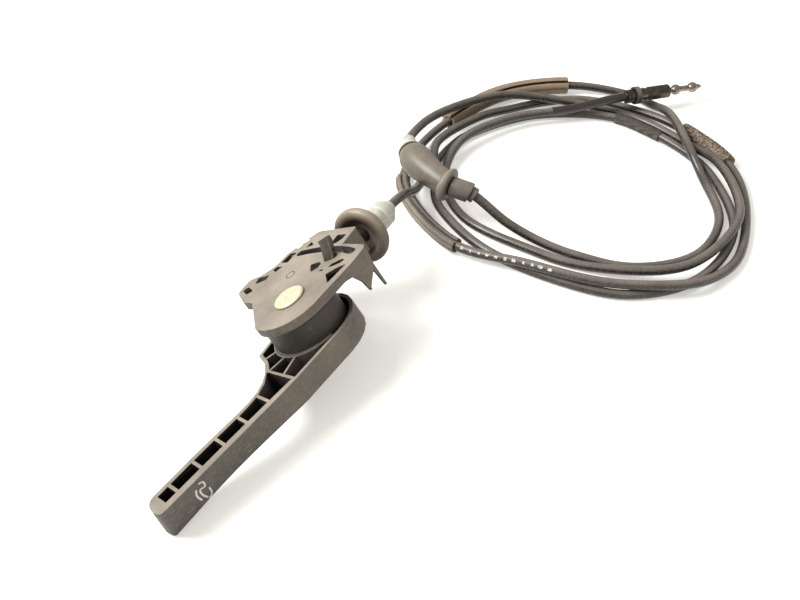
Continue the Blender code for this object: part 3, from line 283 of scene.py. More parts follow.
dashes = bpy.data.objects.new("conduit_dashes", printed_dashes())
bpy.context.scene.collection.objects.link(dashes)
dashes.data.materials.append(rubbed_ink())
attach(dashes, "bracket")

# Split sleeve: a protective strip extruded in soft PVC, with a lengthwise slit by which it was
# pushed over the conduit, and a few grooves along it.
STRIP_BORE = 0.0032
GROOVE_DEPTH = 0.0008
GROOVE_WIDTH_DEGREES = 8.0
LIP_WEAR = 0.0005
LIP_WEAR_REACH = 0.12
SPLIT_START = 1.199
SPLIT_LENGTH = 0.072
SPLIT_GROOVES = (55.0, 95.0, 140.0, 250.0, 300.0)


def place_mesh(name, mesh, finish, smooth_angle=40.0):
    """Put a finished mesh in the scene, smooth over its shallow edges."""
    made = bpy.data.objects.new(name, mesh)
    bpy.context.scene.collection.objects.link(made)
    mesh.materials.append(finish)
    mesh.shade_smooth()
    mesh.set_sharp_from_angle(angle=math.radians(smooth_angle))
    return made


def strip_section(radius, grooves, slit, turn):
    """Outline of a split strip: the outer skin with its grooves, then back along the bore."""
    start = slit / 2
    outer = []
    inner = []
    steps = 60
    for k in range(steps + 1):
        angle = start + (math.tau - slit) * k / steps
        dip = sum(
            math.exp(-((math.degrees(angle) - g) / GROOVE_WIDTH_DEGREES) ** 2) for g in grooves
        )
        edge = min(angle - start, math.tau - slit / 2 - angle)
        lip = LIP_WEAR * math.exp(-edge / LIP_WEAR_REACH)
        r = radius - GROOVE_DEPTH * min(dip, 1.0) - lip
        outer.append((r * math.cos(angle + turn), r * math.sin(angle + turn)))
        inner.append((STRIP_BORE * math.cos(angle + turn), STRIP_BORE * math.sin(angle + turn)))
    return outer + inner[::-1]


def along_cable(name, stations, section_at):
    """Sweep a section along the cable and close both ends."""
    shape = bmesh.new()
    rings = []
    for length in stations:
        place, ahead, across, up = cable_axes(length)
        rings.append([shape.verts.new(place + across * x + up * y) for x, y in section_at(length)])
    count = len(rings[0])
    for lower, upper in zip(rings, rings[1:]):
        for k in range(count):
            n = (k + 1) % count
            shape.faces.new((lower[k], lower[n], upper[n], upper[k]))
    shape.faces.new(rings[0])
    shape.faces.new(rings[-1])
    bmesh.ops.recalc_face_normals(shape, faces=shape.faces)
    mesh = bpy.data.meshes.new(name)
    shape.to_mesh(mesh)
    shape.free()
    return mesh


def spaced(start, length, count):
    """Evenly spaced lengths along the cable."""
    return [start + length * k / count for k in range(count + 1)]


def weathered_strip(name, low, high, pale):
    """Extruded flexible plastic, chalked by weather, with fine drawn lines along it and painted shade in
    its grooves.
    """
    finish, shader = new_finish(name, 0.62)
    place = add_node(finish, "TexCoord", {}).outputs["Object"]
    blotch = add_node(
        finish, "TexNoise", {"Vector": place, "Scale": 1 / 0.012, "Detail": 6.0, "Roughness": 0.65}
    )
    grit = add_node(
        finish, "TexNoise", {"Vector": place, "Scale": 1 / 0.0009, "Detail": 3.0, "Roughness": 0.7}
    )
    base = mix_colours(finish, blotch.outputs["Fac"], low, high)
    # Painted shade: grooves and hollows darkened from ambient occlusion.
    recess = add_node(finish, "AmbientOcclusion", {"Distance": 0.003}, samples=6)
    hollow = add_node(
        finish, "MapRange", {"Value": recess.outputs["AO"], "From Min": 0.45, "From Max": 0.95}
    )
    shaded = mix_colours(finish, hollow.outputs[0], "#35302b", base)
    chalk = add_node(finish, "MapRange", {"Value": grit.outputs["Fac"], "From Min": 0.5, "From Max": 0.8})
    faint = add_node(finish, "Math", {0: chalk.outputs[0], 1: 0.5}, operation="MULTIPLY")
    colour = mix_colours(finish, faint.outputs[0], shaded, pale)
    finish.node_tree.links.new(colour, shader.inputs["Base Color"])
    bump = add_node(
        finish, "Bump", {"Height": grit.outputs["Fac"], "Strength": 0.35, "Distance": 0.00015}
    )
    finish.node_tree.links.new(bump.outputs[0], shader.inputs["Normal"])
    return finish


split_outline = strip_section(
    radius=0.00455, grooves=SPLIT_GROOVES, slit=math.radians(24.0), turn=math.radians(100.0)
)
split_sleeve = place_mesh(
    "split_strip",
    along_cable("split_strip", spaced(SPLIT_START, SPLIT_LENGTH, 60), lambda length: split_outline),
    weathered_strip("weathered soft PVC strip", "#675f56", "#948a7d", "#aca294"),
)
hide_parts("split_sleeve")
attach(split_sleeve, "bracket")

# Fluted sleeve: a wider strip extruded with flutes along it, pushed over the conduit at the top
# of the coil. The sun has bleached it to a tan, and its edges are worn thin at the slit.
FLUTED_START = 1.340
FLUTED_LENGTH = 0.098
FLUTES = (48.0, 84.0, 120.0, 156.0, 200.0, 250.0, 300.0)
fluted_outline = strip_section(
    radius=0.00565, grooves=FLUTES, slit=math.radians(20.0), turn=math.radians(60.0)
)
fluted_sleeve = place_mesh(
    "fluted_strip",
    along_cable("fluted_strip", spaced(FLUTED_START, FLUTED_LENGTH, 80), lambda length: fluted_outline),
    weathered_strip("sun bleached tan strip", "#84705b", "#ab957c", "#bfac94"),
)
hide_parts("fluted_sleeve")
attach(fluted_sleeve, "bracket")

# Foam wrap: a short band of open-cell foam tape round the conduit against rattle. Its cut
# surface is torn and rough, black in the cells and brown on the cell walls.
FOAM_START = 0.888
FOAM_LENGTH = 0.042
FOAM_RADIUS = 0.00510
CELL_SIZE = 0.0012
CELL_DEPTH = 0.00040
SWELL_SIZE = 0.006
SWELL_DEPTH = 0.00015


def torn_foam(length):
    """Section of the foam band, broken up by the cells and flat where it lies on the floor."""
    place, ahead, across, up = cable_axes(length)
    points = []
    for k in range(72):
        angle = math.tau * k / 72
        radial = across * math.cos(angle) + up * math.sin(angle)
        skin = place + radial * 0.005
        r = FOAM_RADIUS + CELL_DEPTH * noise.noise(skin / CELL_SIZE)
        r += SWELL_DEPTH * noise.noise(skin / SWELL_SIZE)
        if radial.z < 0.0:
            r = min(r, place.z / -radial.z)
        points.append((r * math.cos(angle), r * math.sin(angle)))
    return points


def open_cell_foam():
    """Open-cell polyurethane foam: dark pits between light brown cell walls about 1 mm apart."""
    finish, shader = new_finish("open cell foam tape", 0.95)
    place = add_node(finish, "TexCoord", {}).outputs["Object"]
    cells = add_node(finish, "TexVoronoi", {"Vector": place, "Scale": 1 / 0.0011, "Randomness": 1.0})
    ragged = add_node(
        finish, "TexNoise", {"Vector": place, "Scale": 1 / 0.0016, "Detail": 5.0, "Roughness": 0.75}
    )
    mixed = add_node(
        finish, "Math", {0: cells.outputs["Distance"], 1: ragged.outputs["Fac"]}, operation="MULTIPLY"
    )
    wall = add_node(finish, "MapRange", {"Value": mixed.outputs[0], "From Min": 0.12, "From Max": 0.36})
    colour = mix_colours(finish, wall.outputs[0], "#2b2521", "#a08c78")
    finish.node_tree.links.new(colour, shader.inputs["Base Color"])
    bump = add_node(finish, "Bump", {"Height": mixed.outputs[0], "Strength": 1.0, "Distance": 0.0006})
    finish.node_tree.links.new(bump.outputs[0], shader.inputs["Normal"])
    return finish


foam_wrap = place_mesh(
    "foam_band",
    along_cable("foam_band", spaced(FOAM_START, FOAM_LENGTH, 90), torn_foam),
    open_cell_foam(), smooth_angle=80.0,
)
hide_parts("foam_wrap")
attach(foam_wrap, "bracket")

# Tape wrap: black cloth tape wound round the conduit in overlapping laps, each lap a small
# step, with the weave drawn coarse enough to show.
TAPE_START = 0.268
TAPE_LENGTH = 0.034
TAPE_LAP = 0.0085
TAPE_RADIUS = 0.00338
TAPE_STEP = 0.00020


def lapped_tape(length):
    """A round section whose radius steps where the next lap begins."""
    points = []
    for k in range(48):
        share = k / 48
        lap = ((length - TAPE_START) / TAPE_LAP + share) % 1.0
        r = TAPE_RADIUS + TAPE_STEP * (1.0 - lap)
        points.append((r * math.cos(math.tau * share), r * math.sin(math.tau * share)))
    return points


def cloth_tape():
    """Woven cotton tape: threads crossing about every 1.3 mm, drawn coarse, dull and dusty."""
    finish, shader = new_finish("black cloth tape", 0.85)
    place = add_node(finish, "TexCoord", {}).outputs["Object"]
    warp = add_node(finish, "TexWave", {"Vector": place, "Scale": 1 / 0.004, "Distortion": 0.4})
    weft = add_node(
        finish, "TexWave", {"Vector": place, "Scale": 1 / 0.004, "Distortion": 0.4}, bands_direction="Y"
    )
    weave = add_node(
        finish, "Math", {0: warp.outputs["Fac"], 1: weft.outputs["Fac"]}, operation="MULTIPLY"
    )
    dust = add_node(finish, "TexNoise", {"Vector": place, "Scale": 1 / 0.005, "Detail": 5.0})
    share = add_node(finish, "Math", {0: dust.outputs["Fac"], 1: weave.outputs[0]}, operation="MULTIPLY")
    colour = mix_colours(finish, share.outputs[0], "#3f3a35", "#8d857c")
    finish.node_tree.links.new(colour, shader.inputs["Base Color"])
    bump = add_node(finish, "Bump", {"Height": weave.outputs[0], "Strength": 0.5, "Distance": 0.0001})
    finish.node_tree.links.new(bump.outputs[0], shader.inputs["Normal"])
    return finish


tape_wrap = place_mesh(
    "cloth_tape",
    along_cable("cloth_tape", spaced(TAPE_START, TAPE_LENGTH, 68), lapped_tape),
    cloth_tape(), smooth_angle=80.0,
)
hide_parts("tape_wrap")
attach(tape_wrap, "bracket")

# Elbow boot: a moulded rubber elbow that seals the cable where it passes the bulkhead. It
# swells to a dome at its outlet, has a seat for its ring, and dust has turned it grey-brown,
# paler on what faces up as painted light.
BOOT_START = 1.820
BOOT_LENGTH = 0.041
DOME_RADIUS = 0.0096


def tube_profile(profile, sides):
    """Section at each length of a round piece given by (length, radius) points."""
    def section(length):
        radius = profile[-1][1]
        for (a, ra), (b, rb) in zip(profile, profile[1:]):
            if a <= length <= b:
                radius = ra + (rb - ra) * (length - a) / (b - a)
                break
        return [
            (radius * math.cos(math.tau * k / sides), radius * math.sin(math.tau * k / sides))
            for k in range(sides)
        ]
    return section


def boot_profile():
    """Outer radius of the boot: ring seat, long barrel, dome."""
    end = BOOT_START + BOOT_LENGTH
    profile = [(BOOT_START, 0.0072), (BOOT_START + 0.0044, 0.0072), (BOOT_START + 0.0046, 0.0075)]
    profile += [(BOOT_START + 0.010, 0.0077), (BOOT_START + 0.019, 0.0088)]
    profile.append((BOOT_START + 0.027, DOME_RADIUS))
    for degrees in range(0, 91, 9):
        angle = math.radians(degrees)
        reach = end - DOME_RADIUS * 0.96 * (1.0 - math.sin(angle))
        after_barrel = BOOT_START + 0.0272 + degrees * 1e-6
        profile.append((max(reach, after_barrel), 0.0036 + 0.0060 * math.cos(angle)))
    return profile


def weathered_rubber(name, low, high, roughness):
    """Moulded EPDM rubber: soft sheen, and a pale bloom on what faces up, part dust and part painted
    light.
    """
    finish, shader = new_finish(name, roughness, ior=1.52)
    place = add_node(finish, "TexCoord", {}).outputs["Object"]
    bloom = add_node(
        finish, "TexNoise", {"Vector": place, "Scale": 1 / 0.02, "Detail": 6.0, "Roughness": 0.6}
    )
    grain = add_node(finish, "TexNoise", {"Vector": place, "Scale": 1 / 0.0007, "Detail": 3.0})
    facing = add_node(finish, "NewGeometry", {}).outputs["Normal"]
    upward = add_node(finish, "SeparateXYZ", {"Vector": facing}).outputs["Z"]
    # Painted light: faces turned up, down to a little below level, are painted paler along with the dusty
    # bloom.
    faces_up = add_node(finish, "MapRange", {"Value": upward, "From Min": -0.3, "From Max": 1.0})
    dust_and_light_raw = add_node(
        finish, "Math", {0: faces_up.outputs[0], 1: bloom.outputs["Fac"]}, operation="MULTIPLY"
    )
    dust = add_node(finish, "MapRange", {"Value": dust_and_light_raw.outputs[0], "From Min": 0.1, "From Max": 0.6})
    colour = mix_colours(finish, dust.outputs[0], low, high)
    finish.node_tree.links.new(colour, shader.inputs["Base Color"])
    bump = add_node(finish, "Bump", {"Height": grain.outputs["Fac"], "Strength": 0.2, "Distance": 0.0001})
    finish.node_tree.links.new(bump.outputs[0], shader.inputs["Normal"])
    return finish


barrel_stations = spaced(BOOT_START, BOOT_LENGTH * 0.7, 24)
boot_stations = sorted({length for length, radius in boot_profile()} | set(barrel_stations))
boot = place_mesh(
    "elbow_boot_rubber",
    along_cable("elbow_boot_rubber", boot_stations, tube_profile(boot_profile(), 56)),
    weathered_rubber("weathered boot rubber", "#4c453c", "#8b8273", 0.42),
)
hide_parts("elbow_boot")
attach(boot, "bracket")

# Boot ring and neck sleeve: a moulded rubber bead that grips the boot's mouth, and the black
# nylon sleeve, stepped at its end, that carries the conduit into it.
BOOT_SEAM = 0.0003
RING_WIDTH = 0.0038


def rounded_band(start, width, radius, edge):
    """Profile of a band with rounded edges."""
    front = []
    back = []
    for degrees in (0, 30, 60, 90):
        angle = math.radians(degrees)
        inset = edge * (1 - math.cos(angle))
        rounded = radius - edge * (1 - math.sin(angle))
        front.append((start + inset, rounded))
        back.append((start + width - inset, rounded))
    return front + back[::-1]


def tube_along(name, profile, sides):
    """A round piece on the cable, with a ring of corners at each point of its profile."""
    return along_cable(name, [length for length, radius in profile], tube_profile(profile, sides))


ring_profile = rounded_band(BOOT_START + BOOT_SEAM, RING_WIDTH, radius=0.0101, edge=0.0018)
ring = place_mesh(
    "boot_bead", tube_along("boot_bead", ring_profile, 56),
    weathered_rubber("weathered bead rubber", "#6a6259", "#a39684", 0.5),
)
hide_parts("boot_ring")
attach(ring, "bracket")

NECK_END = BOOT_START - BOOT_SEAM
NECK_LENGTH = 0.015
NECK_STEP = 0.0032
NECK_BARREL = 0.0118
neck_profile = rounded_band(NECK_END - NECK_LENGTH, NECK_STEP, radius=0.0046, edge=0.0006)
neck_profile += rounded_band(NECK_END - NECK_BARREL, NECK_BARREL, radius=0.0060, edge=0.0007)
neck = place_mesh(
    "neck_sleeve_nylon", tube_along("neck_sleeve_nylon", neck_profile, 48),
    weathered_rubber("dusty neck nylon with painted top light", "#4a443d", "#8e8477", 0.4),
)
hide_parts("neck_sleeve")
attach(neck, "bracket")

# Flange insert: an off-white acetal bush in the boot's outlet, a thin flange and a tapered
# barrel round the conduit.
def aged_acetal(name, low, high):
    """Injection moulded acetal: milky, a little translucent, smooth, with grey grime and painted shade in
    its hollows.
    """
    finish, shader = new_finish(name, 0.42, ior=1.48)
    place = add_node(finish, "TexCoord", {}).outputs["Object"]
    grime = add_node(
        finish, "TexNoise", {"Vector": place, "Scale": 1 / 0.006, "Detail": 7.0, "Roughness": 0.7}
    )
    # Painted shade: hollows and grooves darkened from ambient occlusion, broken up by grime noise.
    recess = add_node(finish, "AmbientOcclusion", {"Distance": 0.004}, samples=6)
    depth = add_node(
        finish, "MapRange", {"Value": recess.outputs["AO"], "From Min": 0.3, "From Max": 0.9}
    )
    both = add_node(finish, "Math", {0: depth.outputs[0], 1: grime.outputs["Fac"]}, operation="MULTIPLY")
    share = add_node(finish, "MapRange", {"Value": both.outputs[0], "From Min": 0.15, "From Max": 0.5})
    colour = mix_colours(finish, share.outputs[0], low, high)
    finish.node_tree.links.new(colour, shader.inputs["Base Color"])
    shader.inputs["Subsurface Weight"].default_value = 0.25
    shader.inputs["Subsurface Radius"].default_value = (0.002, 0.002, 0.0018)
    bump = add_node(
        finish, "Bump", {"Height": grime.outputs["Fac"], "Strength": 0.12, "Distance": 0.0002}
    )
    finish.node_tree.links.new(bump.outputs[0], shader.inputs["Normal"])
    return finish


INSERT_START = BOOT_START + BOOT_LENGTH
insert_profile = rounded_band(INSERT_START, 0.0020, radius=0.0075, edge=0.0005)
insert_profile += [
    (INSERT_START + 0.0021, 0.0053), (INSERT_START + 0.0120, 0.0049), (INSERT_START + 0.0126, 0.0045),
]
insert = place_mesh(
    "flange_bush", tube_along("flange_bush", insert_profile, 48),
    aged_acetal("off-white acetal", "#857c70", "#d8d3c6"),
)
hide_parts("flange_insert")
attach(insert, "bracket")

# Cable sleeve: a moulded adjuster of pale green, milky acetal with a flange behind the grommet,
# a grooved waist and a stepped tail. Its neck passes through the bracket's end wall.
SLEEVE_LINE = Matrix.Translation((0.06818, -0.00342, 0.04012)) @ (
    Vector((0.990405, 0.103181, -0.091929)).to_track_quat("Z", "Y").to_matrix().to_4x4()
)


def turned(name, profile, sides, line):
    """A ring turned about a line from (radius, height) points in millimetres."""
    shape = bmesh.new()
    rings = []
    for radius, height in profile:
        ring = []
        for k in range(sides):
            angle = math.tau * k / sides
            spoke = Vector((radius * math.cos(angle), radius * math.sin(angle), height)) / 1000.0
            ring.append(shape.verts.new(line @ spoke))
        rings.append(ring)
    for lower, upper in zip(rings, rings[1:] + rings[:1]):
        for k in range(sides):
            n = (k + 1) % sides
            shape.faces.new((lower[k], lower[n], upper[n], upper[k]))
    bmesh.ops.recalc_face_normals(shape, faces=shape.faces)
    mesh = bpy.data.meshes.new(name)
    shape.to_mesh(mesh)
    shape.free()
    return mesh


sleeve_profile = [
    (0.95, -8.0), (3.6, -8.0), (4.0, -7.6), (4.0, 10.2), (12.4, 10.2), (12.8, 10.6),
    (12.8, 11.7), (12.4, 12.1), (9.0, 12.1), (8.75, 12.4), (8.5, 16.4), (8.3, 16.7),
    (7.4, 17.3), (7.2, 17.5), (6.9, 18.2), (6.9, 20.2), (7.15, 20.4), (7.15, 21.4),
    (6.9, 21.6), (6.9, 23.6), (7.3, 24.1), (7.6, 24.5), (7.6, 30.3), (7.4, 30.7),
    (7.0, 31.3), (4.9, 31.4), (4.75, 31.7), (4.6, 36.2), (4.4, 36.5), (3.05, 36.5),
    (3.05, 11.7), (0.95, 11.7),
]
sleeve = place_mesh(
    "adjuster_sleeve_acetal",
    turned("adjuster_sleeve_acetal", sleeve_profile, 72, SLEEVE_LINE),
    aged_acetal("pale green acetal", "#8b8b7e", "#d2cfc2"), smooth_angle=30.0,
)
# The neck faces inside the grommet's mouth get a near-black finish.
sleeve.data.materials.append(weathered_rubber("near-black neck", "#1d1a18", "#3a3531", 0.35))
NECK_REACH = 0.0101
NECK_RADIUS = 0.0042
for face in sleeve.data.polygons:
    spot = SLEEVE_LINE.inverted() @ face.center
    if spot.z < NECK_REACH and spot.to_2d().length < NECK_RADIUS:
        face.material_index = 1
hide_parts("adjuster_sleeve")
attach(sleeve, "bracket")

# Panel grommet: a soft, fat rubber ring that seals the panel hole, open towards the bracket,
# with a thin web round the sleeve.
grommet_profile = [
    (4.3, 7.3), (8.6, 7.3), (9.6, 6.9), (10.2, 5.9), (10.2, 4.6), (10.5, 3.9),
    (11.2, 3.5), (13.4, 3.5), (14.6, 3.8), (15.4, 4.4), (15.85, 5.3), (16.0, 6.3),
    (15.85, 7.5), (15.4, 8.6), (14.6, 9.4), (13.4, 9.9), (4.3, 9.9),
]
grommet = place_mesh(
    "grommet_rubber_ring",
    turned("grommet_rubber_ring", grommet_profile, 80, SLEEVE_LINE),
    weathered_rubber("weathered grommet rubber", "#55493d", "#a89a86", 0.45), smooth_angle=60.0,
)
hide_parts("panel_grommet")
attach(grommet, "bracket")

# Inner wire: seven strands of steel laid in a twist, from the nipple in the crank to the
# sleeve.
WIRE_PATH = [
    (0.02864, 0.00386, 0.03567), (0.04049, -0.0006, 0.03863), (0.04878, -0.00373, 0.0407),
    (0.0563, -0.00466, 0.04122), (0.05927, -0.00435, 0.04094), (0.06422, -0.00383, 0.04048),
]
STRAND_RADIUS = 0.00021
STRAND_SIDES = 8
STRAND_STEP = 0.0005
WIRE_TWIST = 0.006


def wire_strands():
    """Six outer strands wound round a straight one, as one mesh."""
    shape = bmesh.new()
    centre = []
    for a, b in zip(WIRE_PATH, WIRE_PATH[1:]):
        count = max(2, round((Vector(b) - Vector(a)).length / STRAND_STEP))
        centre += [Vector(a).lerp(Vector(b), k / count) for k in range(count)]
    centre.append(Vector(WIRE_PATH[-1]))
    for strand in range(7):
        rings = []
        run = 0.0
        for i, point in enumerate(centre):
            run += (point - centre[i - 1]).length if i else 0.0
            ahead = (centre[min(i + 1, len(centre) - 1)] - centre[max(i - 1, 0)]).normalized()
            across = ahead.cross(Vector((0.0, 0.0, 1.0))).normalized()
            up = across.cross(ahead)
            angle = math.tau * (strand / 6 + run / WIRE_TWIST)
            offset = 0.0 if strand == 6 else 2 * STRAND_RADIUS
            middle = point + (across * math.cos(angle) + up * math.sin(angle)) * offset
            ring = []
            for k in range(STRAND_SIDES):
                turn = math.tau * k / STRAND_SIDES
                spoke = across * math.cos(turn) + up * math.sin(turn)
                ring.append(shape.verts.new(middle + spoke * STRAND_RADIUS))
            rings.append(ring)
        for lower, upper in zip(rings, rings[1:]):
            for k in range(STRAND_SIDES):
                n = (k + 1) % STRAND_SIDES
                shape.faces.new((lower[k], lower[n], upper[n], upper[k]))
        shape.faces.new(rings[0])
        shape.faces.new(rings[-1])
    bmesh.ops.recalc_face_normals(shape, faces=shape.faces)
    mesh = bpy.data.meshes.new("wire_strands")
    shape.to_mesh(mesh)
    shape.free()
    return mesh


def used_steel(name, clean, stained, roughness):
    """Steel with a worn plating: bright where rubbed, stained and duller between."""
    finish, shader = new_finish(name, roughness, metallic=1.0)
    place = add_node(finish, "TexCoord", {}).outputs["Object"]
    stain = add_node(
        finish, "TexNoise", {"Vector": place, "Scale": 1 / 0.004, "Detail": 7.0, "Roughness": 0.7}
    )
    fine = add_node(finish, "TexNoise", {"Vector": place, "Scale": 1 / 0.0005, "Detail": 3.0})
    share = add_node(
        finish, "MapRange", {"Value": stain.outputs["Fac"], "From Min": 0.38, "From Max": 0.66}
    )
    colour = mix_colours(finish, share.outputs[0], clean, stained)
    finish.node_tree.links.new(colour, shader.inputs["Base Color"])
    rough = add_node(
        finish, "MapRange",
        {"Value": share.outputs[0], "To Min": roughness - 0.08, "To Max": roughness + 0.15}
    )
    finish.node_tree.links.new(rough.outputs[0], shader.inputs["Roughness"])
    bump = add_node(
        finish, "Bump", {"Height": fine.outputs["Fac"], "Strength": 0.15, "Distance": 0.00005}
    )
    finish.node_tree.links.new(bump.outputs[0], shader.inputs["Normal"])
    return finish


strands = place_mesh(
    "inner_wire", wire_strands(),
    used_steel("stranded steel wire", "#b9b3a8", "#6b6259", 0.35), smooth_angle=60.0,
)
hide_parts("wire_lead")
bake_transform(strands)

# Small steel parts of the pull: a pressed crank and a ferrule with a thin yellow zinc plating,
# coloured darker as painted shade inside the drum, and a washer and a wire nipple of bare,
# greasy steel.
EDGE_ANGLE = math.radians(35.0)
JOIN_DISTANCE = 0.00001


def soften(node):
    """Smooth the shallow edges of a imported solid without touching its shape."""
    for attribute in ("custom_normal", "sharp_face"):
        if attribute in node.data.attributes:
            node.data.attributes.remove(node.data.attributes[attribute])
    node.data.shade_smooth()
    weld = node.modifiers.new("join corners", "WELD")
    weld.merge_threshold = JOIN_DISTANCE
    split = node.modifiers.new("keep edges", "EDGE_SPLIT")
    split.split_angle = EDGE_ANGLE
    return node


def dress(node_name, finish):
    """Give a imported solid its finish."""
    node = soften(nodes[node_name])
    node.data.materials.clear()
    node.data.materials.append(finish)
    return node


# Painted shade: the zinc is coloured darker for the shade inside the drum, where the crank and ferrule
# sit.
yellow_zinc = used_steel("yellow zinc plated steel darkened as painted shade", "#9c9079", "#5f5646", 0.4)
greasy_steel = used_steel("greasy bare steel", "#a39c90", "#5a5148", 0.42)
dress("crank", yellow_zinc)
dress("wire_ferrule", yellow_zinc)
dress("pivot_washer", greasy_steel)
dress("wire_nipple", greasy_steel)

# Pivot rivet: a wide, low domed head in bright yellow-white zinc, upset by a press, with the
# dimple of the tool at its middle.
bright_zinc = used_steel("bright zinc rivet", "#e4dec4", "#cabf98", 0.48)
bright_zinc.node_tree.nodes["Principled BSDF"].inputs["Metallic"].default_value = 0.35
dress("pivot_rivet", bright_zinc)

# End fitting: a dark plated steel guide crimped on the conduit, its black collar, and the
# turned steel stud with two balls that hooks into the latch.
dark_plate = used_steel("dark plated steel guide", "#6d655d", "#4a433c", 0.3)
stud_steel = used_steel("turned stud steel", "#b3aba1", "#7d746a", 0.3)
dress("end_sleeve", dark_plate)
dress("end_stud", stud_steel)
dress("end_collar", weathered_rubber("dusty collar nylon with painted top light", "#3f3a35", "#7f766b", 0.45))

# Tail tube: a short glossy black tube over the conduit's last straight run, where it goes
# into the guide.
TAIL_LENGTH = 0.050
TAIL_FROM_END = 0.0065
tail_start = CABLE_LENGTH - TAIL_FROM_END - TAIL_LENGTH
tail_profile = rounded_band(tail_start, TAIL_LENGTH, radius=0.00292, edge=0.0003)
tail_run = spaced(tail_profile[3][0], 0.049, 24)
tail_stations = sorted({length for length, radius in tail_profile} | set(tail_run))
glossy_tube, tube_shader = new_finish("glossy black nylon tube", 0.16)
tube_shader.inputs["Base Color"].default_value = linear("#37322f")
tail = place_mesh(
    "tail_tube",
    along_cable("tail_tube", tail_stations, tube_profile(tail_profile, 32)), glossy_tube,
)
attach(tail, "bracket")

# Lever and bracket: black glass-filled nylon mouldings, faded to a warm grey on what faces the
# light, those faces painted paler still and the sides darker as painted light, with moulding
# grain, painted shade in the corners and edges rubbed pale. The drum under the plate carries the
# plate's painted shadow.
PIVOT_LINE = Matrix.Translation((0.0138, -0.0026, 0.04245)) @ Matrix((
    (0.991445, 0.0, -0.130526, 0.0),
    (0.067226, 0.857167, 0.510632, 0.0),
    (0.111883, -0.515038, 0.849834, 0.0),
    (0.0, 0.0, 0.0, 1.0),
))


# Reach of the plate's painted shadow on the drum, about the pivot line.
PLATE_SHADOW_RADIUS = 0.0209
PLATE_SHADOW_EDGE = 0.0214
PLATE_SHADOW_MIDDLE = -0.0115
PLATE_SHADOW_HALF_DEPTH = 0.009


def plate_shadow_mask(finish, place):
    """Painted shadow of the plate: 1 on the drum under the plate, 0 elsewhere, from the place on the part
    itself.
    """
    apart = add_node(
        finish, "VectorMath", {0: place, 1: PIVOT_LINE.translation}, operation="SUBTRACT"
    ).outputs[0]
    axis = PIVOT_LINE.col[2].to_3d()
    height = add_node(finish, "VectorMath", {0: apart, 1: axis}, operation="DOT_PRODUCT").outputs["Value"]
    spoke = add_node(finish, "VectorMath", {0: apart, 1: axis}, operation="CROSS_PRODUCT").outputs[0]
    reach = add_node(finish, "VectorMath", {0: spoke}, operation="LENGTH").outputs["Value"]
    inside = add_node(
        finish, "MapRange", {"Value": reach, "From Min": PLATE_SHADOW_EDGE, "From Max": PLATE_SHADOW_RADIUS}
    )
    between = add_node(
        finish, "Math", {0: height, 1: PLATE_SHADOW_MIDDLE, 2: PLATE_SHADOW_HALF_DEPTH}, operation="COMPARE"
    )
    return add_node(
        finish, "Math", {0: inside.outputs[0], 1: between.outputs[0]}, operation="MULTIPLY"
    ).outputs[0]


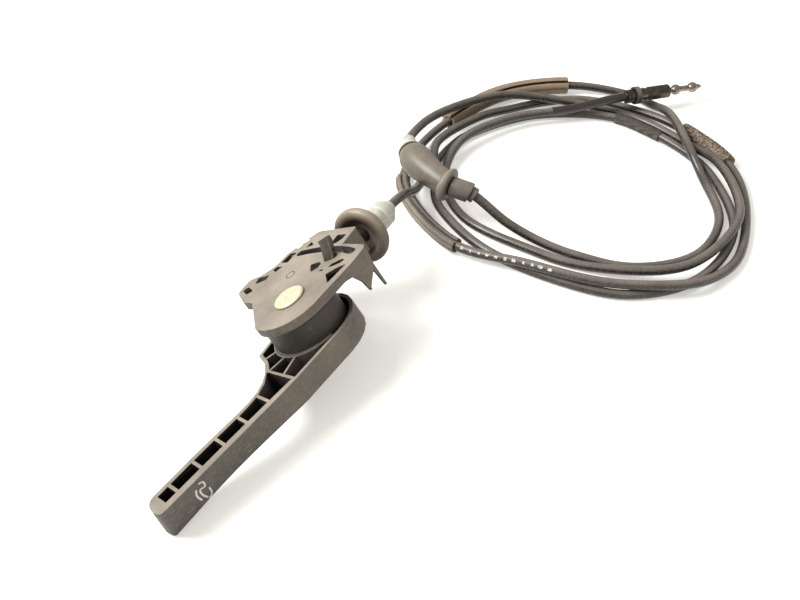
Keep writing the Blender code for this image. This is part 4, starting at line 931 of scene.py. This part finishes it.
def faded_nylon(name, seed):
    """Glass-filled nylon: matt moulded grain, faded skin paler on top as painted light, painted shade in
    corners and under the plate, pale rubbed edges.
    """
    finish, shader = new_finish(name, 0.58, ior=1.53)
    place = add_node(finish, "TexCoord", {}).outputs["Object"]
    shifted = add_node(finish, "Mapping", {"Vector": place, "Location": (seed, 0.0, 0.0)}).outputs[0]
    cloud = add_node(
        finish, "TexNoise", {"Vector": shifted, "Scale": 1 / 0.022, "Detail": 7.0, "Roughness": 0.6}
    )
    grain = add_node(finish, "TexNoise", {"Vector": shifted, "Scale": 1 / 0.0006, "Detail": 3.0})
    mottle = add_node(
        finish, "TexNoise", {"Vector": shifted, "Scale": 1 / 0.0025, "Detail": 5.0, "Roughness": 0.7}
    )
    stretched = add_node(finish, "Mapping", {"Vector": shifted, "Scale": (30.0, 600.0, 600.0)}).outputs[0]
    streak = add_node(finish, "TexNoise", {"Vector": stretched, "Scale": 1.0, "Detail": 2.0})
    geometry = add_node(finish, "NewGeometry", {})
    upward = add_node(finish, "SeparateXYZ", {"Vector": geometry.outputs["Normal"]}).outputs["Z"]
    # Painted light: faces turned up are painted paler and the sides darker, on top of the sun fade.
    faces_up = add_node(finish, "MapRange", {"Value": upward, "From Min": -0.15, "From Max": 0.95})
    fade_and_light_raw = add_node(
        finish, "Math", {0: faces_up.outputs[0], 1: cloud.outputs["Fac"]}, operation="MULTIPLY"
    )
    fade_and_light = add_node(finish, "MapRange", {"Value": fade_and_light_raw.outputs[0], "From Min": 0.0, "From Max": 0.6})
    skin = mix_colours(finish, fade_and_light.outputs[0], "#403b38", "#998e7f")
    specks = add_node(
        finish, "MapRange", {"Value": mottle.outputs["Fac"], "From Min": 0.42, "From Max": 0.78}
    )
    few = add_node(finish, "Math", {0: specks.outputs[0], 1: 0.26}, operation="MULTIPLY")
    dusted = mix_colours(finish, few.outputs[0], skin, "#aea18f")
    # Painted shadow: the drum under the plate is painted near-black.
    plate_shadow = add_node(finish, "Math", {0: plate_shadow_mask(finish, place), 1: 0.74}, operation="MULTIPLY")
    plate_shadowed = mix_colours(finish, plate_shadow.outputs[0], dusted, "#2c2725")
    # Painted shade: corners and recesses darkened from ambient occlusion.
    recess = add_node(finish, "AmbientOcclusion", {"Distance": 0.012}, samples=8)
    open_air = add_node(
        finish, "MapRange", {"Value": recess.outputs["AO"], "From Min": 0.3, "From Max": 0.85}
    )
    corner_shaded = mix_colours(finish, open_air.outputs[0], "#211d1b", plate_shadowed)
    edge = add_node(finish, "Bevel", {"Radius": 0.0005}, samples=6)
    turn = add_node(
        finish, "VectorMath", {0: edge.outputs[0], 1: geometry.outputs["Normal"]}, operation="DOT_PRODUCT"
    )
    rubbed = add_node(
        finish, "MapRange", {"Value": turn.outputs["Value"], "From Min": 0.985, "From Max": 0.82}
    )
    patchy = add_node(
        finish, "Math", {0: rubbed.outputs[0], 1: mottle.outputs["Fac"]}, operation="MULTIPLY"
    )
    worn = mix_colours(finish, patchy.outputs[0], corner_shaded, "#cfc5b4")
    scratch = add_node(
        finish, "MapRange", {"Value": streak.outputs["Fac"], "From Min": 0.66, "From Max": 0.72}
    )
    thin = add_node(finish, "Math", {0: scratch.outputs[0], 1: 0.25}, operation="MULTIPLY")
    colour = mix_colours(finish, thin.outputs[0], worn, "#b3a898")
    finish.node_tree.links.new(colour, shader.inputs["Base Color"])
    rough = add_node(finish, "MapRange", {"Value": cloud.outputs["Fac"], "To Min": 0.48, "To Max": 0.68})
    finish.node_tree.links.new(rough.outputs[0], shader.inputs["Roughness"])
    bump = add_node(
        finish, "Bump",
        {"Height": grain.outputs["Fac"], "Strength": 0.3, "Distance": 0.0001, "Normal": edge.outputs[0]},
    )
    finish.node_tree.links.new(bump.outputs[0], shader.inputs["Normal"])
    return finish


dress("lever", faded_nylon("faded lever nylon", 0.0))
dress("bracket", faded_nylon("faded bracket nylon", 0.37))

# Bracket's small mouldings, all of the bracket's nylon: a low ring on the plate, a dark web below
# the windows by the snap tab, near-black as painted shade in the pocket there, and the tab's own
# broad, barbed blade of black nylon, darkened further as painted shade.
dark_nylon = weathered_rubber("near-black inner nylon", "#191614", "#3d3732", 0.4)
RING_PLACE = (0.0186, 0.0155, 0.0)
ring_line = PIVOT_LINE @ Matrix.Translation(RING_PLACE)
RING_SECTION = [(2.2, -0.1), (2.25, 0.06), (2.4, 0.1), (2.6, 0.1), (2.75, 0.06), (2.8, -0.1)]
plate_ring = place_mesh(
    "plate_ring", turned("plate_ring", RING_SECTION, 40, ring_line), dark_nylon, smooth_angle=60.0
)
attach(plate_ring, "bracket")

WEB_OUTLINE = [
    (20.7, -3.6), (19.2, -6.8), (17.6, -10.0), (15.5, -13.0), (12.9, -15.6), (10.2, -17.7),
    (8.4, -19.35), (9.0, -22.6), (22.6, -23.9), (33.0, -24.2), (33.0, -9.0), (27.5, -3.2),
]
TAB_BLADE = [(-3.1, 0.0), (3.1, 0.0), (3.1, 10.2), (2.2, 12.6), (-3.9, 10.4), (-3.1, 8.6)]


def plate_of(name, outline, low, high, line, edge):
    """An outline in millimetres raised between two heights, its edges bevelled, on a line."""
    shape = bmesh.new()
    base = shape.faces.new([shape.verts.new((x / 1000, y / 1000, low / 1000)) for x, y in outline])
    raised = bmesh.ops.extrude_face_region(shape, geom=[base])
    lifted = [v for v in raised["geom"] if isinstance(v, bmesh.types.BMVert)]
    bmesh.ops.translate(shape, verts=lifted, vec=(0.0, 0.0, (high - low) / 1000))
    bmesh.ops.bevel(
        shape, geom=list(shape.edges), offset=edge / 1000, segments=2, profile=0.5, affect="EDGES"
    )
    bmesh.ops.recalc_face_normals(shape, faces=shape.faces)
    bmesh.ops.transform(shape, matrix=line, verts=shape.verts)
    mesh = bpy.data.meshes.new(name)
    shape.to_mesh(mesh)
    shape.free()
    return mesh


# Painted shade: the web is near-black for the shade in the pocket under the windows.
web = place_mesh(
    "window_web",
    plate_of("window_web", WEB_OUTLINE, low=-4.6, high=-3.4, line=PIVOT_LINE, edge=0.15),
    dark_nylon,
)
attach(web, "bracket")

TAB_LEAN = math.radians(24.0)
TAB_FOOT = (0.0286, -0.0067, -0.0010)
tab_axis = Vector((math.sin(TAB_LEAN), 0.0, math.cos(TAB_LEAN)))
tab_across = Vector((0.37, -0.93, 0.0))
tab_across = (tab_across - tab_axis * tab_across.dot(tab_axis)).normalized()
tab_turn = Matrix((tab_across, tab_axis, tab_across.cross(tab_axis))).transposed().to_4x4()
tab_line = PIVOT_LINE @ Matrix.Translation(TAB_FOOT) @ tab_turn
# Painted shade: the blade is black nylon painted darker still for the shade it stands in.
tab_nylon = weathered_rubber("black tab nylon with painted shade", "#1e1a18", "#5e564c", 0.3)
tab_blade = place_mesh(
    "tab_blade",
    plate_of("tab_blade", TAB_BLADE, low=-1.6, high=1.6, line=tab_line, edge=0.3),
    tab_nylon,
)
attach(tab_blade, "bracket")

# Paint-pen mark: a plain squiggle of white paint, drawn by hand in three strokes on the grip's
# outer wall. Its points are places in the picture, put on the wall along the camera's rays.
PICTURE_WIDTH = 800.0
PICTURE_HEIGHT = 600.0
STROKE_RADIUS = 0.0006
MARK_PIXELS = [
    [(198, 484), (203, 482), (205, 486), (200, 490), (203, 495), (208, 497)],
    [(196, 490), (197, 496), (202, 500)],
    [(209, 487), (212, 492), (210, 498)],
]


def camera_ray(x, y):
    """Direction from the camera through a point of the picture."""
    reach = camera_data.lens / camera_data.sensor_width * PICTURE_WIDTH
    local = Vector((x - PICTURE_WIDTH / 2, PICTURE_HEIGHT / 2 - y, -reach))
    return (camera.matrix_world.to_3x3() @ local).normalized()


def surface_of(node_name):
    """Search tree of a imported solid's faces."""
    mesh = nodes[node_name].data
    return BVHTree.FromPolygons([v.co for v in mesh.vertices], [tuple(p.vertices) for p in mesh.polygons])


def pen_mark():
    """Rounded strokes laid on the lever's wall."""
    wall = surface_of("lever")
    line = bpy.data.curves.new("pen_mark", "CURVE")
    line.dimensions = "3D"
    line.bevel_depth = STROKE_RADIUS
    line.bevel_resolution = 3
    line.use_fill_caps = True
    for stroke in MARK_PIXELS:
        placed = []
        for point in smooth_line([Vector((x, y, 0.0)) for x, y in stroke], 6):
            hit, normal = wall.ray_cast(camera_place, camera_ray(point.x, point.y))[:2]
            if hit is not None:
                placed.append(hit - normal * (STROKE_RADIUS / 2))
        spline = line.splines.new("POLY")
        spline.points.add(len(placed) - 1)
        for point, place in zip(spline.points, placed):
            point.co = (*place, 1.0)
    return line


mark = bpy.data.objects.new("pen_mark", pen_mark())
bpy.context.scene.collection.objects.link(mark)
paint, paint_shader = new_finish("white paint pen", 0.4)
paint_place = add_node(paint, "TexCoord", {}).outputs["Object"]
paint_patch = add_node(paint, "TexNoise", {"Vector": paint_place, "Scale": 1 / 0.001, "Detail": 3.0})
paint_colour = mix_colours(paint, paint_patch.outputs["Fac"], "#f4f3f0", "#d8d5cc")
paint.node_tree.links.new(paint_colour, paint_shader.inputs["Base Color"])
mark.data.materials.append(paint)
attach(mark, "lever")

# Floor and light: a white paper floor, one large soft lamp high on the left and an even pale
# room, so that shadows stay short and faint.
bpy.context.scene.view_settings.view_transform = "Standard"
FLOOR_HALF = 3.0
FLOOR_GLOW = 0.42
floor_shape = bmesh.new()
bmesh.ops.create_grid(floor_shape, x_segments=1, y_segments=1, size=FLOOR_HALF)
floor_mesh = bpy.data.meshes.new("floor")
floor_shape.to_mesh(floor_mesh)
floor_shape.free()
floor = bpy.data.objects.new("floor", floor_mesh)
bpy.context.scene.collection.objects.link(floor)
paper, paper_shader = new_finish("white paper floor", 0.9)
paper_shader.inputs["Base Color"].default_value = linear("#f3f1ec")
rays = add_node(paper, "LightPath", {})
seen = add_node(
    paper, "Math",
    {0: rays.outputs["Is Camera Ray"], 1: rays.outputs["Is Glossy Ray"]}, operation="MAXIMUM"
)
lift = add_node(paper, "Math", {0: seen.outputs[0], 1: FLOOR_GLOW}, operation="MULTIPLY")
glow = add_node(paper, "Emission", {"Color": linear("#fffdf8"), "Strength": lift.outputs[0]})
both_surfaces = add_node(paper, "AddShader", {0: paper_shader.outputs[0], 1: glow.outputs[0]})
paper_output = paper.node_tree.nodes["Material Output"]
paper.node_tree.links.new(both_surfaces.outputs[0], paper_output.inputs["Surface"])
floor_mesh.materials.append(paper)

world = bpy.data.worlds.new("pale room")
bpy.context.scene.world = world
world.use_nodes = True
room = world.node_tree.nodes["Background"]
room.inputs["Color"].default_value = linear("#fffdfa")
world_rays = add_node(world, "LightPath", {}).outputs["Is Camera Ray"]
room_level = add_node(world, "MapRange", {"Value": world_rays, "To Min": 0.5, "To Max": 1.0})
world.node_tree.links.new(room_level.outputs[0], room.inputs["Strength"])


def soft_lamp(name, place, aim, size, power):
    """A square area lamp that points at a place."""
    lamp_data = bpy.data.lights.new(name, "AREA")
    lamp_data.size = size
    lamp_data.energy = power
    lamp = bpy.data.objects.new(name, lamp_data)
    bpy.context.scene.collection.objects.link(lamp)
    turn = (Vector(aim) - Vector(place)).to_track_quat("-Z", "Y")
    lamp.matrix_world = Matrix.Translation(place) @ turn.to_matrix().to_4x4()


soft_lamp("key_lamp", place=(-0.45, 0.65, 0.95), aim=(0.12, -0.03, 0.0), size=0.6, power=20.0)
